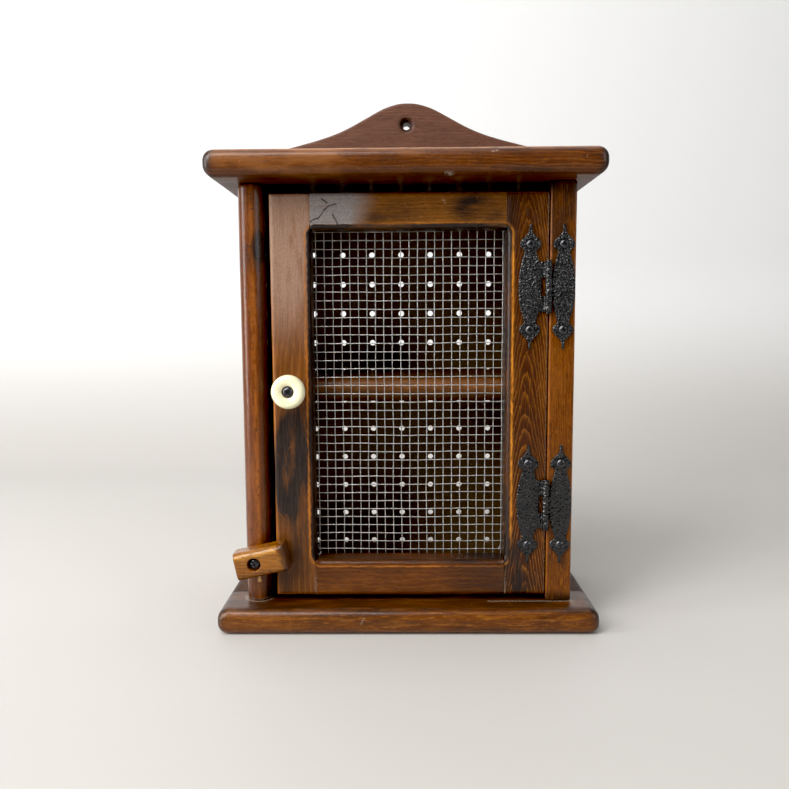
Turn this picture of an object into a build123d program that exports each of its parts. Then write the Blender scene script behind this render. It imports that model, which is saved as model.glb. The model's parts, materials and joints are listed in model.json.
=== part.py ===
from build123d import *
import math
import os

# Small wall-hung food safe in stained pine: a box with a pegboard back, one
# shelf, a framed wire-mesh door on two H hinges, a knob and a wooden turn
# button, and an arched hanging board on top.
# Frame: +X right, +Y to the wall, +Z up.  Origin: underside of the base,
# middle of the body's width, in the plane of the door's front face.

os.makedirs("parts", exist_ok=True)

# ---------------------------------------------------------------- dimensions
board = 19.0              # thickness of every pine board
body_half = 122.0         # half of the body's width over the two sides
body_h = 308.5            # height of the sides
side_depth = 114.3        # front to back of the sides
peg_t = 3.2               # pegboard thickness

z_side0 = board
z_side1 = z_side0 + body_h
z_top1 = z_side1 + board
back_y = side_depth + peg_t
side_in = body_half - board           # inner face of the right side
side_mid = body_half - board / 2      # middle of the right side's thickness
full_round = board / 2 - 0.05         # rounds a board's edge to nearly a half circle

# base and top boards
base_half = 140.0
base_over = 20.0          # base board in front of the door plane
top_half = 138.9
top_mid = -0.6            # its middle, a little left of the body's
top_over = 26.0           # top board in front of the door plane
edge_r = 7.6              # rounding of their upper and lower edges
plan_r = 6.0              # rounding of their front corners in plan

# shelf
shelf_z = 167.0           # underside
shelf_mid_z = shelf_z + board / 2
shelf_front = 22.4

# door
door_l = -98.6
door_r = 102.4
door_z0 = 23.0
door_z1 = 320.4
open_l = -69.0            # inner edge of the left stile
open_r = 72.4             # inner edge of the right stile
open_z0 = 50.0
open_z1 = 294.2

# hinges
hinge_zs = (93.0, 252.2)
door_leaf_x = 89.0
side_leaf_x = 113.0
leaf_t = 1.6
leaf_screw_z = 30.6       # hinge screw above and below the leaf's middle
hinge_screw_r = 1.6

# knob
knob_x = -84.6
knob_z = 178.7
knob_bore = 2.1           # radius

# turn button's pivot
button_x = -112.1
button_z = 52.3
button_screw_r = 2.2

# fasteners
fit = 0.05                # radial gap around screws, nails and dowels
tip_room = 1.0            # pilot hole beyond the tip of a screw or nail
short_pilot = 15.0        # pilots of pegboard nails, hinge screws and knob screw
base_screw_r, base_head_r, base_screw_len = 1.9, 4.0, 42.0
crest_screw_r, crest_head_r, crest_screw_len = 1.75, 3.6, 36.0
nail_r, nail_head_r, nail_head_h = 0.9, 1.5, 1.4      # top board and shelf nails
top_nail_len, top_nail_sink = 40.0, 0.5
shelf_nail_len, shelf_nail_sink = 38.0, 0.3
under_head = 0.1          # counterbore below those nails' heads
peg_nail_r, peg_head_r, peg_head_h = 0.8, 2.6, 0.8
peg_nail_len, peg_nail_sink = 17.0, 0.05

# places as (x, y), except where the name says otherwise
base_screw_at = [(x, y) for x in (-side_mid, side_mid) for y in (24.0, 94.0)]
crest_screw_at = [(x, back_y - board / 2) for x in (-62.0, 66.0)]
top_nail_at = [(x, y) for x in (-side_mid, side_mid) for y in (14.0, 52.0, 90.0)]
shelf_nail_yz = [(y, shelf_mid_z) for y in (48.0, 92.0)]
peg_side_nail_xz = [(x, z) for x in (-side_mid, side_mid)
                    for z in (32.0, 98.0, 144.0, 210.0, 268.0, 315.0)]
peg_shelf_nail_xz = [(x, 173.6) for x in (-67.0, 8.0, 60.0)]
peg_nail_xz = peg_side_nail_xz + peg_shelf_nail_xz


# ------------------------------------------------------------------- helpers
def save(piece, name):
    piece.part.label = name
    export_step(piece.part, "parts/" + name + ".step")


# Planes at a point; the name gives the way the normal points.
def upward(x, y, z):
    return Plane(origin=(x, y, z), x_dir=(1, 0, 0), z_dir=(0, 0, 1))


def downward(x, y, z):
    return Plane(origin=(x, y, z), x_dir=(1, 0, 0), z_dir=(0, 0, -1))


def frontward(x, y, z):
    return Plane(origin=(x, y, z), x_dir=(1, 0, 0), z_dir=(0, -1, 0))


def rearward(x, y, z):
    return Plane(origin=(x, y, z), x_dir=(-1, 0, 0), z_dir=(0, 1, 0))


def sideward(x, y, z, sign):
    """Right for sign 1, left for sign -1."""
    return Plane(origin=(x, y, z), x_dir=(0, sign, 0), z_dir=(sign, 0, 0))


def leaf_screw_planes(x, y):
    """Where the screws of one column of hinge leaves enter the plane y."""
    return [frontward(x, y, hinge_z + offset)
            for hinge_z in hinge_zs for offset in (-leaf_screw_z, leaf_screw_z)]


# ------------------------------------------------------- fastener prototypes
# Each stands at the origin with its head outward along +Z and its shank
# along -Z.
screw_tip_r = 0.35
screw_taper = 4.0         # length of the pointed end
nail_tip_r = 0.2
nail_taper = 2.4


def flat_screw(shank_r, head_r, length):
    """Countersunk cross-slotted wood screw, its flat head flush with z = 0."""
    slot_len, slot_w, slot_depth = head_r * 1.15, 0.9, 1.2
    with BuildPart() as screw:
        with BuildSketch(Plane.XZ):
            with BuildLine():
                Polyline((0, 0), (head_r, 0), (shank_r, shank_r - head_r),
                         (shank_r, -length + screw_taper), (screw_tip_r, -length),
                         (0, -length), (0, 0))
            make_face()
        revolve(axis=Axis.Z)
        with BuildSketch(Plane.XY):
            Rectangle(slot_len, slot_w)
            Rectangle(slot_w, slot_len)
        extrude(amount=-slot_depth, mode=Mode.SUBTRACT)
    return screw.part


def dome_screw(shank_r, head_r, head_h, length, turn):
    """Round-headed cross-slotted wood screw whose head sits on z = 0."""
    slot_len, slot_w = head_r * 1.2, 0.85
    slot_start = 0.5      # slot cutter starts this far above the head
    rim_h = 0.35 * head_h
    with BuildPart() as screw:
        with BuildSketch(Plane.XZ):
            with BuildLine():
                Polyline((0, head_h), (0, -length), (screw_tip_r, -length),
                         (shank_r, -length + screw_taper), (shank_r, 0), (head_r, 0),
                         (head_r, rim_h))
                ThreePointArc((head_r, rim_h), (head_r * 0.68, head_h * 0.86), (0, head_h))
            make_face()
        revolve(axis=Axis.Z)
        with BuildSketch(Plane.XY.offset(head_h + slot_start)):
            Rectangle(slot_len, slot_w, rotation=turn)
            Rectangle(slot_w, slot_len, rotation=turn)
        extrude(amount=-(slot_start + head_h * 0.75), mode=Mode.SUBTRACT)
    return screw.part


def nail(shank_r, head_r, head_h, length):
    """Nail whose thin head has its upper face on z = 0."""
    with BuildPart() as pin:
        with BuildSketch(Plane.XZ):
            with BuildLine():
                Polyline((0, 0), (head_r, 0), (head_r, -head_h), (shank_r, -head_h),
                         (shank_r, -length + nail_taper), (nail_tip_r, -length),
                         (0, -length), (0, 0))
            make_face()
        revolve(axis=Axis.Z)
    return pin.part


def save_fasteners(name, prototype, planes):
    """Save one piece made of a prototype set on each plane."""
    with BuildPart() as fasteners:
        with Locations(*planes):
            add(prototype)
    save(fasteners, name)


# ------------------------------------------------------ base and top boards
def rounded_board(mid_x, half, overhang, z0):
    """Horizontal board, rounded all round except along the wall."""
    with BuildPart() as plank:
        with BuildSketch(Plane.XY.offset(z0)) as plan:
            with Locations((mid_x, (back_y - overhang) / 2)):
                Rectangle(2 * half, back_y + overhang)
            fillet(plan.vertices().group_by(Axis.Y)[0], plan_r)
        extrude(amount=board)
        faces = plank.faces().sort_by(Axis.Z)
        rims = faces[0].edges() + faces[-1].edges()
        fillet([edge for edge in rims if edge.center().Y < back_y - 1], edge_r)
    return plank.part


base_blank = rounded_board(0, base_half, base_over, 0)
with BuildPart() as base_board:
    add(base_blank)
    with Locations(*[downward(x, y, 0) for x, y in base_screw_at]):
        CounterSinkHole(base_screw_r + fit, base_head_r + fit, counter_sink_angle=90)
save(base_board, "base_board")

top_blank = rounded_board(top_mid, top_half, top_over, z_side1)
with BuildPart() as top_board:
    add(top_blank)
    with Locations(*[upward(x, y, z_top1) for x, y in top_nail_at]):
        CounterBoreHole(nail_r + fit, nail_head_r + fit,
                        nail_head_h + top_nail_sink + under_head)
    with Locations(*[downward(x, y, z_side1) for x, y in crest_screw_at]):
        CounterSinkHole(crest_screw_r + fit, crest_head_r + fit, counter_sink_angle=90)
save(top_board, "top_board")


# --------------------------------------------------------------------- sides
def save_side(name, sign, front_r, front_planes, front_hole_r, front_depth):
    """One side: its rounded front edge, nail and screw holes, and front pilots."""
    with BuildPart() as side:
        with BuildSketch(Plane.XY.offset(z_side0)) as plan:
            with Locations((sign * side_mid, side_depth / 2)):
                Rectangle(board, side_depth)
            fillet(plan.vertices().group_by(Axis.Y)[0], front_r)
        extrude(amount=body_h)
        with Locations(*[downward(x, y, z_side0) for x, y in base_screw_at if x * sign > 0]):
            Hole(base_screw_r + fit, depth=base_screw_len - board + tip_room)
        with Locations(*[upward(x, y, z_side1) for x, y in top_nail_at if x * sign > 0]):
            Hole(nail_r + fit, depth=top_nail_len - board + tip_room)
        with Locations(*[rearward(x, side_depth, z) for x, z in peg_side_nail_xz
                         if x * sign > 0]):
            Hole(peg_nail_r + fit, depth=short_pilot)
        with Locations(*[sideward(sign * body_half, y, z, sign) for y, z in shelf_nail_yz]):
            CounterBoreHole(nail_r + fit, nail_head_r + fit,
                            nail_head_h + shelf_nail_sink + under_head, depth=board + 1.0)
        with Locations(*front_planes):
            Hole(front_hole_r, depth=front_depth)
    save(side, name)


save_side("left_side", -1, full_round, [frontward(button_x, 0, button_z)],
          button_screw_r + fit, 20.0)
save_side("right_side", 1, 1.0, leaf_screw_planes(side_leaf_x, 0),
          hinge_screw_r + fit, short_pilot)

# --------------------------------------------------------------------- shelf
with BuildPart() as shelf:
    with BuildSketch(Plane.YZ.offset(-side_in)) as shelf_end:
        with Locations(((shelf_front + side_depth) / 2, shelf_mid_z)):
            Rectangle(side_depth - shelf_front, board)
        fillet(shelf_end.vertices().group_by(Axis.X)[0], full_round)
    extrude(amount=2 * side_in)
    for sign in (-1, 1):
        with Locations(*[sideward(sign * side_in, y, z, sign) for y, z in shelf_nail_yz]):
            Hole(nail_r + fit, depth=shelf_nail_len - board + tip_room)
    with Locations(*[rearward(x, side_depth, z) for x, z in peg_shelf_nail_xz]):
        Hole(peg_nail_r + fit, depth=short_pilot)
save(shelf, "shelf")

# --------------------------------------------------------------- crest board
crest_x = 2.0             # apex, a little right of the body's middle
crest_rise = 62.4         # apex above the top board
crest_half = 122.0
crest_end_z = 369.0       # top of the board's two ends
crest_front = back_y - board
crest_ease = 1.2          # easing along the arch
hang_x = 1.0              # hanging hole
hang_z = 391.2
hang_r = 3.25
hang_sink_r = 6.25

# arch to either side of the apex: (distance from the apex in x, z)
crest_arch = [
    (6.5, 408.6), (13.0, 407.1), (19.8, 404.8), (26.5, 401.6), (33.3, 397.9),
    (40.0, 394.2), (46.8, 390.6), (53.5, 387.4), (60.3, 384.6), (67.0, 382.2),
    (73.8, 380.1), (80.5, 378.2), (87.5, 376.4), (94.5, 374.6), (104.0, 372.4),
]

with BuildPart() as crest_board:
    with BuildSketch(frontward(0, back_y, 0)):
        with BuildLine():
            Spline((-crest_half, crest_end_z),
                   *[(crest_x - x, z) for x, z in reversed(crest_arch)],
                   (crest_x, z_top1 + crest_rise),
                   *[(crest_x + x, z) for x, z in crest_arch],
                   (crest_half, crest_end_z))
            Polyline((crest_half, crest_end_z), (crest_half, z_top1),
                     (-crest_half, z_top1), (-crest_half, crest_end_z))
        make_face()
    extrude(amount=board)
    fillet(crest_board.edges().filter_by(GeomType.BSPLINE), crest_ease)
    with Locations(frontward(hang_x, crest_front, hang_z)):
        CounterSinkHole(hang_r, hang_sink_r, counter_sink_angle=82)
    with Locations(*[downward(x, y, z_top1) for x, y in crest_screw_at]):
        Hole(crest_screw_r + fit, depth=crest_screw_len - board + tip_room)
save(crest_board, "crest_board")

# ------------------------------------------------------------- pegboard back
peg_pitch = 25.4
peg_hole_r = 2.4
peg_x0 = -105.74          # leftmost column of holes
peg_nx = 9
peg_z1 = 311.08           # top row of holes
peg_nz = 12

with BuildPart() as pegboard_back:
    with BuildSketch(frontward(0, back_y, 0)):
        with Locations((0, (z_side0 + z_side1) / 2)):
            Rectangle(2 * body_half, body_h)
        with Locations((peg_x0 + peg_pitch * (peg_nx - 1) / 2,
                        peg_z1 - peg_pitch * (peg_nz - 1) / 2)):
            with GridLocations(peg_pitch, peg_pitch, peg_nx, peg_nz):
                Circle(peg_hole_r, mode=Mode.SUBTRACT)
    extrude(amount=peg_t)
    # the nail heads lie just below the rear face
    with Locations(*[rearward(x, back_y, z) for x, z in peg_nail_xz]):
        CounterBoreHole(peg_nail_r + fit, peg_head_r + fit, peg_head_h + peg_nail_sink + fit)
save(pegboard_back, "pegboard_back")

# ------------------------------------------------------- fasteners of the box
save_fasteners("base_screws", flat_screw(base_screw_r, base_head_r, base_screw_len),
               [downward(x, y, 0) for x, y in base_screw_at])
save_fasteners("crest_screws", flat_screw(crest_screw_r, crest_head_r, crest_screw_len),
               [downward(x, y, z_side1) for x, y in crest_screw_at])
save_fasteners("top_board_nails", nail(nail_r, nail_head_r, nail_head_h, top_nail_len),
               [upward(x, y, z_top1 - top_nail_sink) for x, y in top_nail_at])
save_fasteners("shelf_nails", nail(nail_r, nail_head_r, nail_head_h, shelf_nail_len),
               [sideward(sign * (body_half - shelf_nail_sink), y, z, sign)
                for sign in (-1, 1) for y, z in shelf_nail_yz])
save_fasteners("pegboard_nails", nail(peg_nail_r, peg_head_r, peg_head_h, peg_nail_len),
               [rearward(x, back_y - peg_nail_sink, z) for x, z in peg_nail_xz])

# ------------------------------------------------- wire cloth and staple places
wire_pitch = 6.35
wire_d = 0.9
wire_x0 = -67.67 - 2 * wire_pitch     # leftmost vertical wire
wire_nx = 27
wire_x1 = wire_x0 + wire_pitch * (wire_nx - 1)
wire_z1 = 294.46 + 2 * wire_pitch     # topmost horizontal wire
wire_nz = 43
wire_z0 = wire_z1 - wire_pitch * (wire_nz - 1)
cloth_t = 1.3
cloth_y = board + 0.05                # front of the cloth, just behind the door frame

# Staples straddle one wire each; their legs pass through the mesh openings
# into the back of the frame.
staple_r = 0.45
staple_half = 3.1
staple_leg = 8.0
staple_bend_r = 0.9
crown_y = cloth_y + cloth_t + staple_r + 0.03


def wire_col(i):
    return wire_x0 + wire_pitch * i


def wire_row(j):
    return wire_z1 - wire_pitch * j


# (x, z) of staples over vertical wires, then over horizontal ones
staples_on_cols = [(wire_col(i), wire_row(j + 0.5)) for i in (4, 13, 22) for j in (0, 41)]
staples_on_rows = [(wire_col(i + 0.5), wire_row(j))
                   for i in (0, 25) for j in (3, 10, 17, 26, 33, 39)]

leg_sides = (-staple_half, staple_half)
staple_pilots = [(x + offset, z) for x, z in staples_on_cols for offset in leg_sides]
staple_pilots += [(x, z + offset) for x, z in staples_on_rows for offset in leg_sides]

# ---------------------------------------------------------------- door frame
door_ease = 3.2           # easing of the door's outer front edges
hinge_edge_r = 0.8        # smaller rounding of the edge beside the hinges
cut_r = 4.2               # router rounding around the opening
bear_r = 4.5              # router bearing radius, left in the corners
cut_over = 0.6            # cutter beyond the wood's faces
arc_mid = cut_r * (1 - math.sqrt(0.5))
dowel_r = 3.0
dowel_half = 15.0         # half length
dowel_zs = (30.0, 43.0, 301.0, 313.0)

# The rounding around the opening is cut by one router pass over the joined
# frame, so its profile runs through all four members.
with BuildPart() as router_pass:
    with BuildLine(frontward(0, 0, 0)) as bearing_path:
        Polyline((open_l, open_z0), (open_r, open_z0), (open_r, open_z1), (open_l, open_z1),
                 close=True)
        fillet(bearing_path.vertices(), bear_r)
    with BuildSketch(Plane(origin=((open_l + open_r) / 2, 0, open_z0),
                           x_dir=(0, 0, -1), z_dir=(1, 0, 0))):
        with BuildLine():
            Polyline((-cut_over, -cut_over), (-cut_over, cut_r), (0, cut_r))
            ThreePointArc((0, cut_r), (arc_mid, arc_mid), (cut_r, 0))
            Polyline((cut_r, 0), (cut_r, -cut_over), (-cut_over, -cut_over))
        make_face()
    sweep(path=bearing_path.wires()[0], transition=Transition.RIGHT)


def dowel_holes(x, sign, z0, z1):
    """Dowel holes drilled at a joint, from the side that faces along sign."""
    with Locations(*[sideward(x, board / 2, z, sign) for z in dowel_zs if z0 < z < z1]):
        Hole(dowel_r + fit, depth=dowel_half + 0.5)


def staple_holes(x0, x1, z0, z1):
    """Pilot holes for the staple legs that enter one member from behind."""
    spots = [(x, z) for x, z in staple_pilots if x0 < x < x1 and z0 < z < z1]
    with Locations(*[rearward(x, board, z) for x, z in spots]):
        Hole(staple_r + fit, depth=staple_leg - 1.5)


with BuildPart() as door_left_stile:
    with BuildSketch(Plane.XY.offset(door_z0)):
        with Locations(((door_l + open_l) / 2, board / 2)):
            Rectangle(open_l - door_l, board)
    extrude(amount=door_z1 - door_z0)
    front = door_left_stile.faces().sort_by(Axis.Y)[0]
    fillet([edge for edge in front.edges() if edge.center().X < open_l - 1], door_ease)
    add(router_pass.part, mode=Mode.SUBTRACT)
    dowel_holes(open_l, 1, door_z0, door_z1)
    with Locations(frontward(knob_x, 0, knob_z)):
        Hole(knob_bore, depth=short_pilot)
    staple_holes(door_l, open_l, door_z0, door_z1)
save(door_left_stile, "door_left_stile")

right_stile_x = (open_r + door_r) / 2
with BuildPart() as door_right_stile:
    with BuildSketch(Plane.XY.offset(door_z0)):
        with Locations((right_stile_x, board / 2)):
            Rectangle(door_r - open_r, board)
    extrude(amount=door_z1 - door_z0)
    front = door_right_stile.faces().sort_by(Axis.Y)[0]
    fillet([edge for edge in front.edges() if abs(edge.center().X - right_stile_x) < 1],
           door_ease)
    fillet(door_right_stile.edges().filter_by(Axis.Z).group_by(Axis.Y)[0].sort_by(Axis.X)[-1],
           hinge_edge_r)
    add(router_pass.part, mode=Mode.SUBTRACT)
    dowel_holes(open_r, -1, door_z0, door_z1)
    with Locations(*leaf_screw_planes(door_leaf_x, 0)):
        Hole(hinge_screw_r + fit, depth=short_pilot)
    staple_holes(open_r, door_r, door_z0, door_z1)
save(door_right_stile, "door_right_stile")

# outer picks the rail's outer front edge, counted from the lowest
for name, z0, z1, outer in (("door_top_rail", open_z1, door_z1, -1),
                            ("door_bottom_rail", door_z0, open_z0, 0)):
    with BuildPart() as rail:
        with BuildSketch(Plane.XY.offset(z0)):
            with Locations(((open_l + open_r) / 2, board / 2)):
                Rectangle(open_r - open_l, board)
        extrude(amount=z1 - z0)
        fillet(rail.edges().filter_by(Axis.X).group_by(Axis.Y)[0].sort_by(Axis.Z)[outer],
               door_ease)
        add(router_pass.part, mode=Mode.SUBTRACT)
        dowel_holes(open_l, -1, z0, z1)
        dowel_holes(open_r, 1, z0, z1)
        staple_holes(open_l, open_r, z0, z1)
    save(rail, name)

with BuildPart() as door_dowels:
    for x in (open_l, open_r):
        for z in dowel_zs:
            with BuildSketch(sideward(x - dowel_half, board / 2, z, 1)):
                Circle(dowel_r)
            extrude(amount=2 * dowel_half)
    chamfer(door_dowels.edges().filter_by(GeomType.CIRCLE), 0.6)
save(door_dowels, "door_dowels")

# ----------------------------------------------------- wire mesh and staples
with BuildPart() as wire_mesh:
    with BuildSketch(frontward(0, cloth_y + cloth_t, 0)):
        with Locations(((wire_x0 + wire_x1) / 2, (wire_z0 + wire_z1) / 2)):
            with GridLocations(wire_pitch, 0, wire_nx, 1):
                Rectangle(wire_d, wire_z1 - wire_z0 + wire_d)
            with GridLocations(0, wire_pitch, 1, wire_nz):
                Rectangle(wire_x1 - wire_x0 + wire_d, wire_d)
    extrude(amount=cloth_t)
save(wire_mesh, "wire_mesh")


def staple(across):
    """Staple with its crown centred on the origin, along X if across, else Y."""
    plane = Plane.XZ if across else Plane.YZ
    foot = (-staple_half, 0) if across else (0, -staple_half)
    with BuildPart() as piece:
        with BuildLine(plane) as spine:
            Polyline((-staple_half, -staple_leg), (-staple_half, 0),
                     (staple_half, 0), (staple_half, -staple_leg))
            fillet(spine.vertices().group_by(Axis.Z)[-1], staple_bend_r)
        with BuildSketch(upward(*foot, -staple_leg)):
            Circle(staple_r)
        sweep(path=spine.wires()[0])
    return piece.part


across_staple = staple(True)
along_staple = staple(False)
with BuildPart() as mesh_staples:
    with Locations(*[rearward(x, crown_y, z) for x, z in staples_on_cols]):
        add(across_staple)
    with Locations(*[rearward(x, crown_y, z) for x, z in staples_on_rows]):
        add(along_staple)
save(mesh_staples, "mesh_staples")

# -------------------------------------------------------------------- hinges
hinge_x = 101.8           # pin axis
hinge_y = -3.1
knuckle_r = 2.6
knuckle_mid = 13.0        # length of the middle knuckle
knuckle_end = 11.3        # length of each outer knuckle
knuckle_gap = 0.2
slot_gap = 0.35           # radial clearance around the other leaf's knuckles
slot_end = 0.6            # clearance beyond their ends
pin_r = 1.35
pin_out = 0.3             # pin beyond the knuckles, under each head
pin_head_r = knuckle_r - 0.25
pin_head_h = 0.9
pin_head_round = 0.6
run_gap = 0.06            # radial running clearance of the door's knuckles
fix_gap = 0.02            # radial gap of the fixed knuckle on its pin

half_mid = knuckle_mid / 2
outer_z0 = half_mid + knuckle_gap
barrel_half = outer_z0 + knuckle_end

# upper right quarter of a leaf: (x, z) from its middle, pointed tip to waist
leaf_lobe = [
    (0.0, 44.45), (0.85, 44.0), (1.15, 43.1), (1.0, 42.1), (0.95, 41.0), (1.3, 39.4),
    (2.6, 37.3), (4.8, 35.1), (6.8, 32.8), (7.6, 30.6), (7.2, 28.6), (6.0, 27.2), (4.5, 26.2),
]
leaf_waist = [
    (4.5, 26.2), (4.4, 24.4), (5.0, 21.8), (6.0, 18.6),
    (7.0, 14.8), (7.75, 10.2), (8.15, 5.2), (8.25, 0.0),
]
# the three curves down the right edge; a half turn makes the left edge
leaf_edge = [
    leaf_lobe,
    leaf_waist + [(x, -z) for x, z in reversed(leaf_waist[:-1])],
    [(x, -z) for x, z in reversed(leaf_lobe)],
]


def leaf(leaf_x, leaf_z, outer_knuckles):
    """One hinge leaf: a lobed plate with pointed ends, its knuckles and holes."""
    if outer_knuckles:
        spans = ((outer_z0, barrel_half), (-barrel_half, -outer_z0))
        bore_r = pin_r + run_gap
    else:
        spans = ((-half_mid, half_mid),)
        bore_r = pin_r + fix_gap
    slots = ((half_mid, barrel_half + slot_end), (-barrel_half - slot_end, -half_mid))
    to_pin = hinge_x - leaf_x
    with BuildPart() as piece:
        with BuildSketch(frontward(leaf_x, 0, leaf_z)):
            with BuildLine():
                for turn in (1, -1):
                    for curve in leaf_edge:
                        Spline(*[(turn * x, turn * z) for x, z in curve])
            make_face()
            for z0, z1 in spans:
                with Locations((to_pin / 2, (z0 + z1) / 2)):
                    Rectangle(abs(to_pin), z1 - z0)
        extrude(amount=leaf_t)
        if not outer_knuckles:
            # clearance slots for the other leaf's knuckles
            for z0, z1 in slots:
                with BuildSketch(Plane.XY.offset(leaf_z + z0)):
                    with Locations((hinge_x, hinge_y)):
                        Circle(knuckle_r + slot_gap)
                extrude(amount=z1 - z0, mode=Mode.SUBTRACT)
        for z0, z1 in spans:
            with BuildSketch(Plane.XY.offset(leaf_z + z0)):
                with Locations((hinge_x, hinge_y)):
                    Circle(knuckle_r)
            extrude(amount=z1 - z0)
        with BuildSketch(Plane.XY.offset(leaf_z - barrel_half - 1)):
            with Locations((hinge_x, hinge_y)):
                Circle(bore_r)
        extrude(amount=2 * barrel_half + 2, mode=Mode.SUBTRACT)
        with Locations(*[frontward(leaf_x, -leaf_t, leaf_z + offset)
                         for offset in (-leaf_screw_z, leaf_screw_z)]):
            Hole(hinge_screw_r + fit, depth=leaf_t + 1)
    return piece


def hinge_pin(mid_z):
    """Pin through the three knuckles, with a rounded head at each end."""
    half = barrel_half + pin_out
    with BuildPart() as pin:
        with BuildSketch(Plane.XY.offset(mid_z - half)):
            with Locations((hinge_x, hinge_y)):
                Circle(pin_r)
        extrude(amount=2 * half)
        for end_plane in (upward(hinge_x, hinge_y, mid_z + half),
                          downward(hinge_x, hinge_y, mid_z - half)):
            with BuildSketch(end_plane):
                Circle(pin_head_r)
            extrude(amount=pin_head_h)
        for end in (-1, 0):
            fillet(pin.edges().filter_by(GeomType.CIRCLE).group_by(Axis.Z)[end],
                   pin_head_round)
    return pin


for word, hinge_z in zip(("lower", "upper"), hinge_zs):
    save(leaf(door_leaf_x, hinge_z, True), word + "_hinge_door_leaf")
    save(leaf(side_leaf_x, hinge_z, False), word + "_hinge_frame_leaf")
    save(hinge_pin(hinge_z), word + "_hinge_pin")

hinge_screw = dome_screw(hinge_screw_r, head_r=3.1, head_h=1.5, length=15.0, turn=20)
save_fasteners("hinge_door_screws", hinge_screw, leaf_screw_planes(door_leaf_x, -leaf_t))
save_fasteners("hinge_frame_screws", hinge_screw, leaf_screw_planes(side_leaf_x, -leaf_t))

# ---------------------------------------------------------------------- knob
knob_foot_r = 6.8
knob_foot_h = 1.0
knob_recess_r = 4.2       # recess around the screw head
knob_seat = 16.2          # floor of the recess, in front of the door

# (radius, distance in front of the door) from the foot to the recess's rim
knob_curve = [
    (knob_foot_r, knob_foot_h), (5.9, 3.2), (5.7, 5.6), (6.9, 8.2), (9.6, 10.6), (11.8, 12.6),
    (12.3, 14.8), (11.7, 17.0), (10.0, 18.6), (8.0, 18.9), (5.6, 18.2), (knob_recess_r, 17.4),
]

with BuildPart() as door_knob:
    with BuildSketch(downward(knob_x, 0, knob_z)):
        with BuildLine():
            Polyline((knob_bore, 0), (knob_foot_r, 0), (knob_foot_r, knob_foot_h))
            Spline(*knob_curve)
            Polyline(knob_curve[-1], (knob_recess_r, knob_seat),
                     (knob_bore, knob_seat), (knob_bore, 0))
        make_face()
    revolve(axis=Axis((knob_x, 0, knob_z), (0, -1, 0)))
save(door_knob, "door_knob")

save_fasteners("knob_screw",
               dome_screw(knob_bore - fit, head_r=3.85, head_h=1.9, length=30.0, turn=45),
               [frontward(knob_x, -knob_seat, knob_z)])

# --------------------------------------------------------------- turn button
button_tilt = math.radians(12.0)      # right end raised
button_left = 14.3        # left and right ends from the screw
button_right = 24.0
button_w = 20.6
button_t = 16.0
button_gap = 0.5          # behind the button
button_edge_r = 5.0       # rounding of its long front edges
button_right_r = 5.5      # rounding of its ends in plan
button_left_r = 1.2
button_run = 0.08         # radial gap around the screw
button_sink = 4.2         # counterbore for the screw head
button_sink_r = 4.8
button_grip = 19.0        # screw's length in the left side, with the gap added

button_len = button_left + button_right
button_mid = (button_right - button_left) / 2
button_front_y = -button_gap - button_t
button_origin = (button_x, -button_gap, button_z)
button_dir = (math.cos(button_tilt), 0, math.sin(button_tilt))
button_up = (-math.sin(button_tilt), 0, math.cos(button_tilt))

with BuildPart() as turn_button:
    with BuildSketch(Plane(origin=button_origin, x_dir=button_dir, z_dir=(0, -1, 0))):
        with Locations((button_mid, 0)):
            Rectangle(button_len, button_w)
    extrude(amount=button_t)
    front = turn_button.faces().sort_by(Axis.Y)[0]
    fillet(front.edges().sort_by(SortBy.LENGTH)[-2:], button_edge_r)
    # seen from above both ends are rounded over to the front
    with BuildSketch(Plane(origin=button_origin, x_dir=button_dir, z_dir=button_up)) as plan:
        with Locations((button_mid, -button_t / 2)):
            Rectangle(button_len, button_t)
        fillet(plan.vertices().group_by(Axis.Y)[0].sort_by(Axis.X)[-1], button_right_r)
        fillet(plan.vertices().group_by(Axis.Y)[0].sort_by(Axis.X)[0], button_left_r)
    extrude(amount=button_w, both=True, mode=Mode.INTERSECT)
    with Locations(frontward(button_x, button_front_y, button_z)):
        CounterBoreHole(button_screw_r + button_run, button_sink_r, button_sink,
                        depth=button_t + 1)
save(turn_button, "turn_button")

turn_screw = dome_screw(button_screw_r, head_r=4.3, head_h=2.4, turn=30,
                        length=button_t - button_sink + button_gap + button_grip)
save_fasteners("turn_button_screw", turn_screw,
               [frontward(button_x, button_front_y + button_sink - 0.05, button_z)])
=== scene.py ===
"""A small wooden cabinet with a wire-mesh door, dressed over its CAD pieces.

X runs left to right across the front, +Y runs to the back and +Z is up.  Shapes are worked out in
millimetres and turned to metres by MM.
"""
import json
import math
from itertools import product

import bmesh
import bpy
import numpy as np
from mathutils import Matrix, Vector
from mathutils.kdtree import KDTree


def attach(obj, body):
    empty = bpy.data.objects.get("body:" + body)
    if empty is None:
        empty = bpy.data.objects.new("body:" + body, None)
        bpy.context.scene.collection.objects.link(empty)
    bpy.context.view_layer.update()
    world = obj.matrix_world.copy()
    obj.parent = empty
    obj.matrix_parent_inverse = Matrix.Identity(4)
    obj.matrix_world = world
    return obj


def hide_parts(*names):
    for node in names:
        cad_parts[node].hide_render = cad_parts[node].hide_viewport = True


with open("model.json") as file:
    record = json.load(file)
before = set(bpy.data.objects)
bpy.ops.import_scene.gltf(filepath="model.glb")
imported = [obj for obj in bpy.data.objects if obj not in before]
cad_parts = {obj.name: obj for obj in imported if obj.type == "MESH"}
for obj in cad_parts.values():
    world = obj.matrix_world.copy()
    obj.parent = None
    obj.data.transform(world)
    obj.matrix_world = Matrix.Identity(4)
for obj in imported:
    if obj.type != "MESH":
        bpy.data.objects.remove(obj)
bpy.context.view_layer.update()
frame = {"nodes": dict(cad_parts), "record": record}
MM = 0.001
CAD = frame["nodes"]
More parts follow.
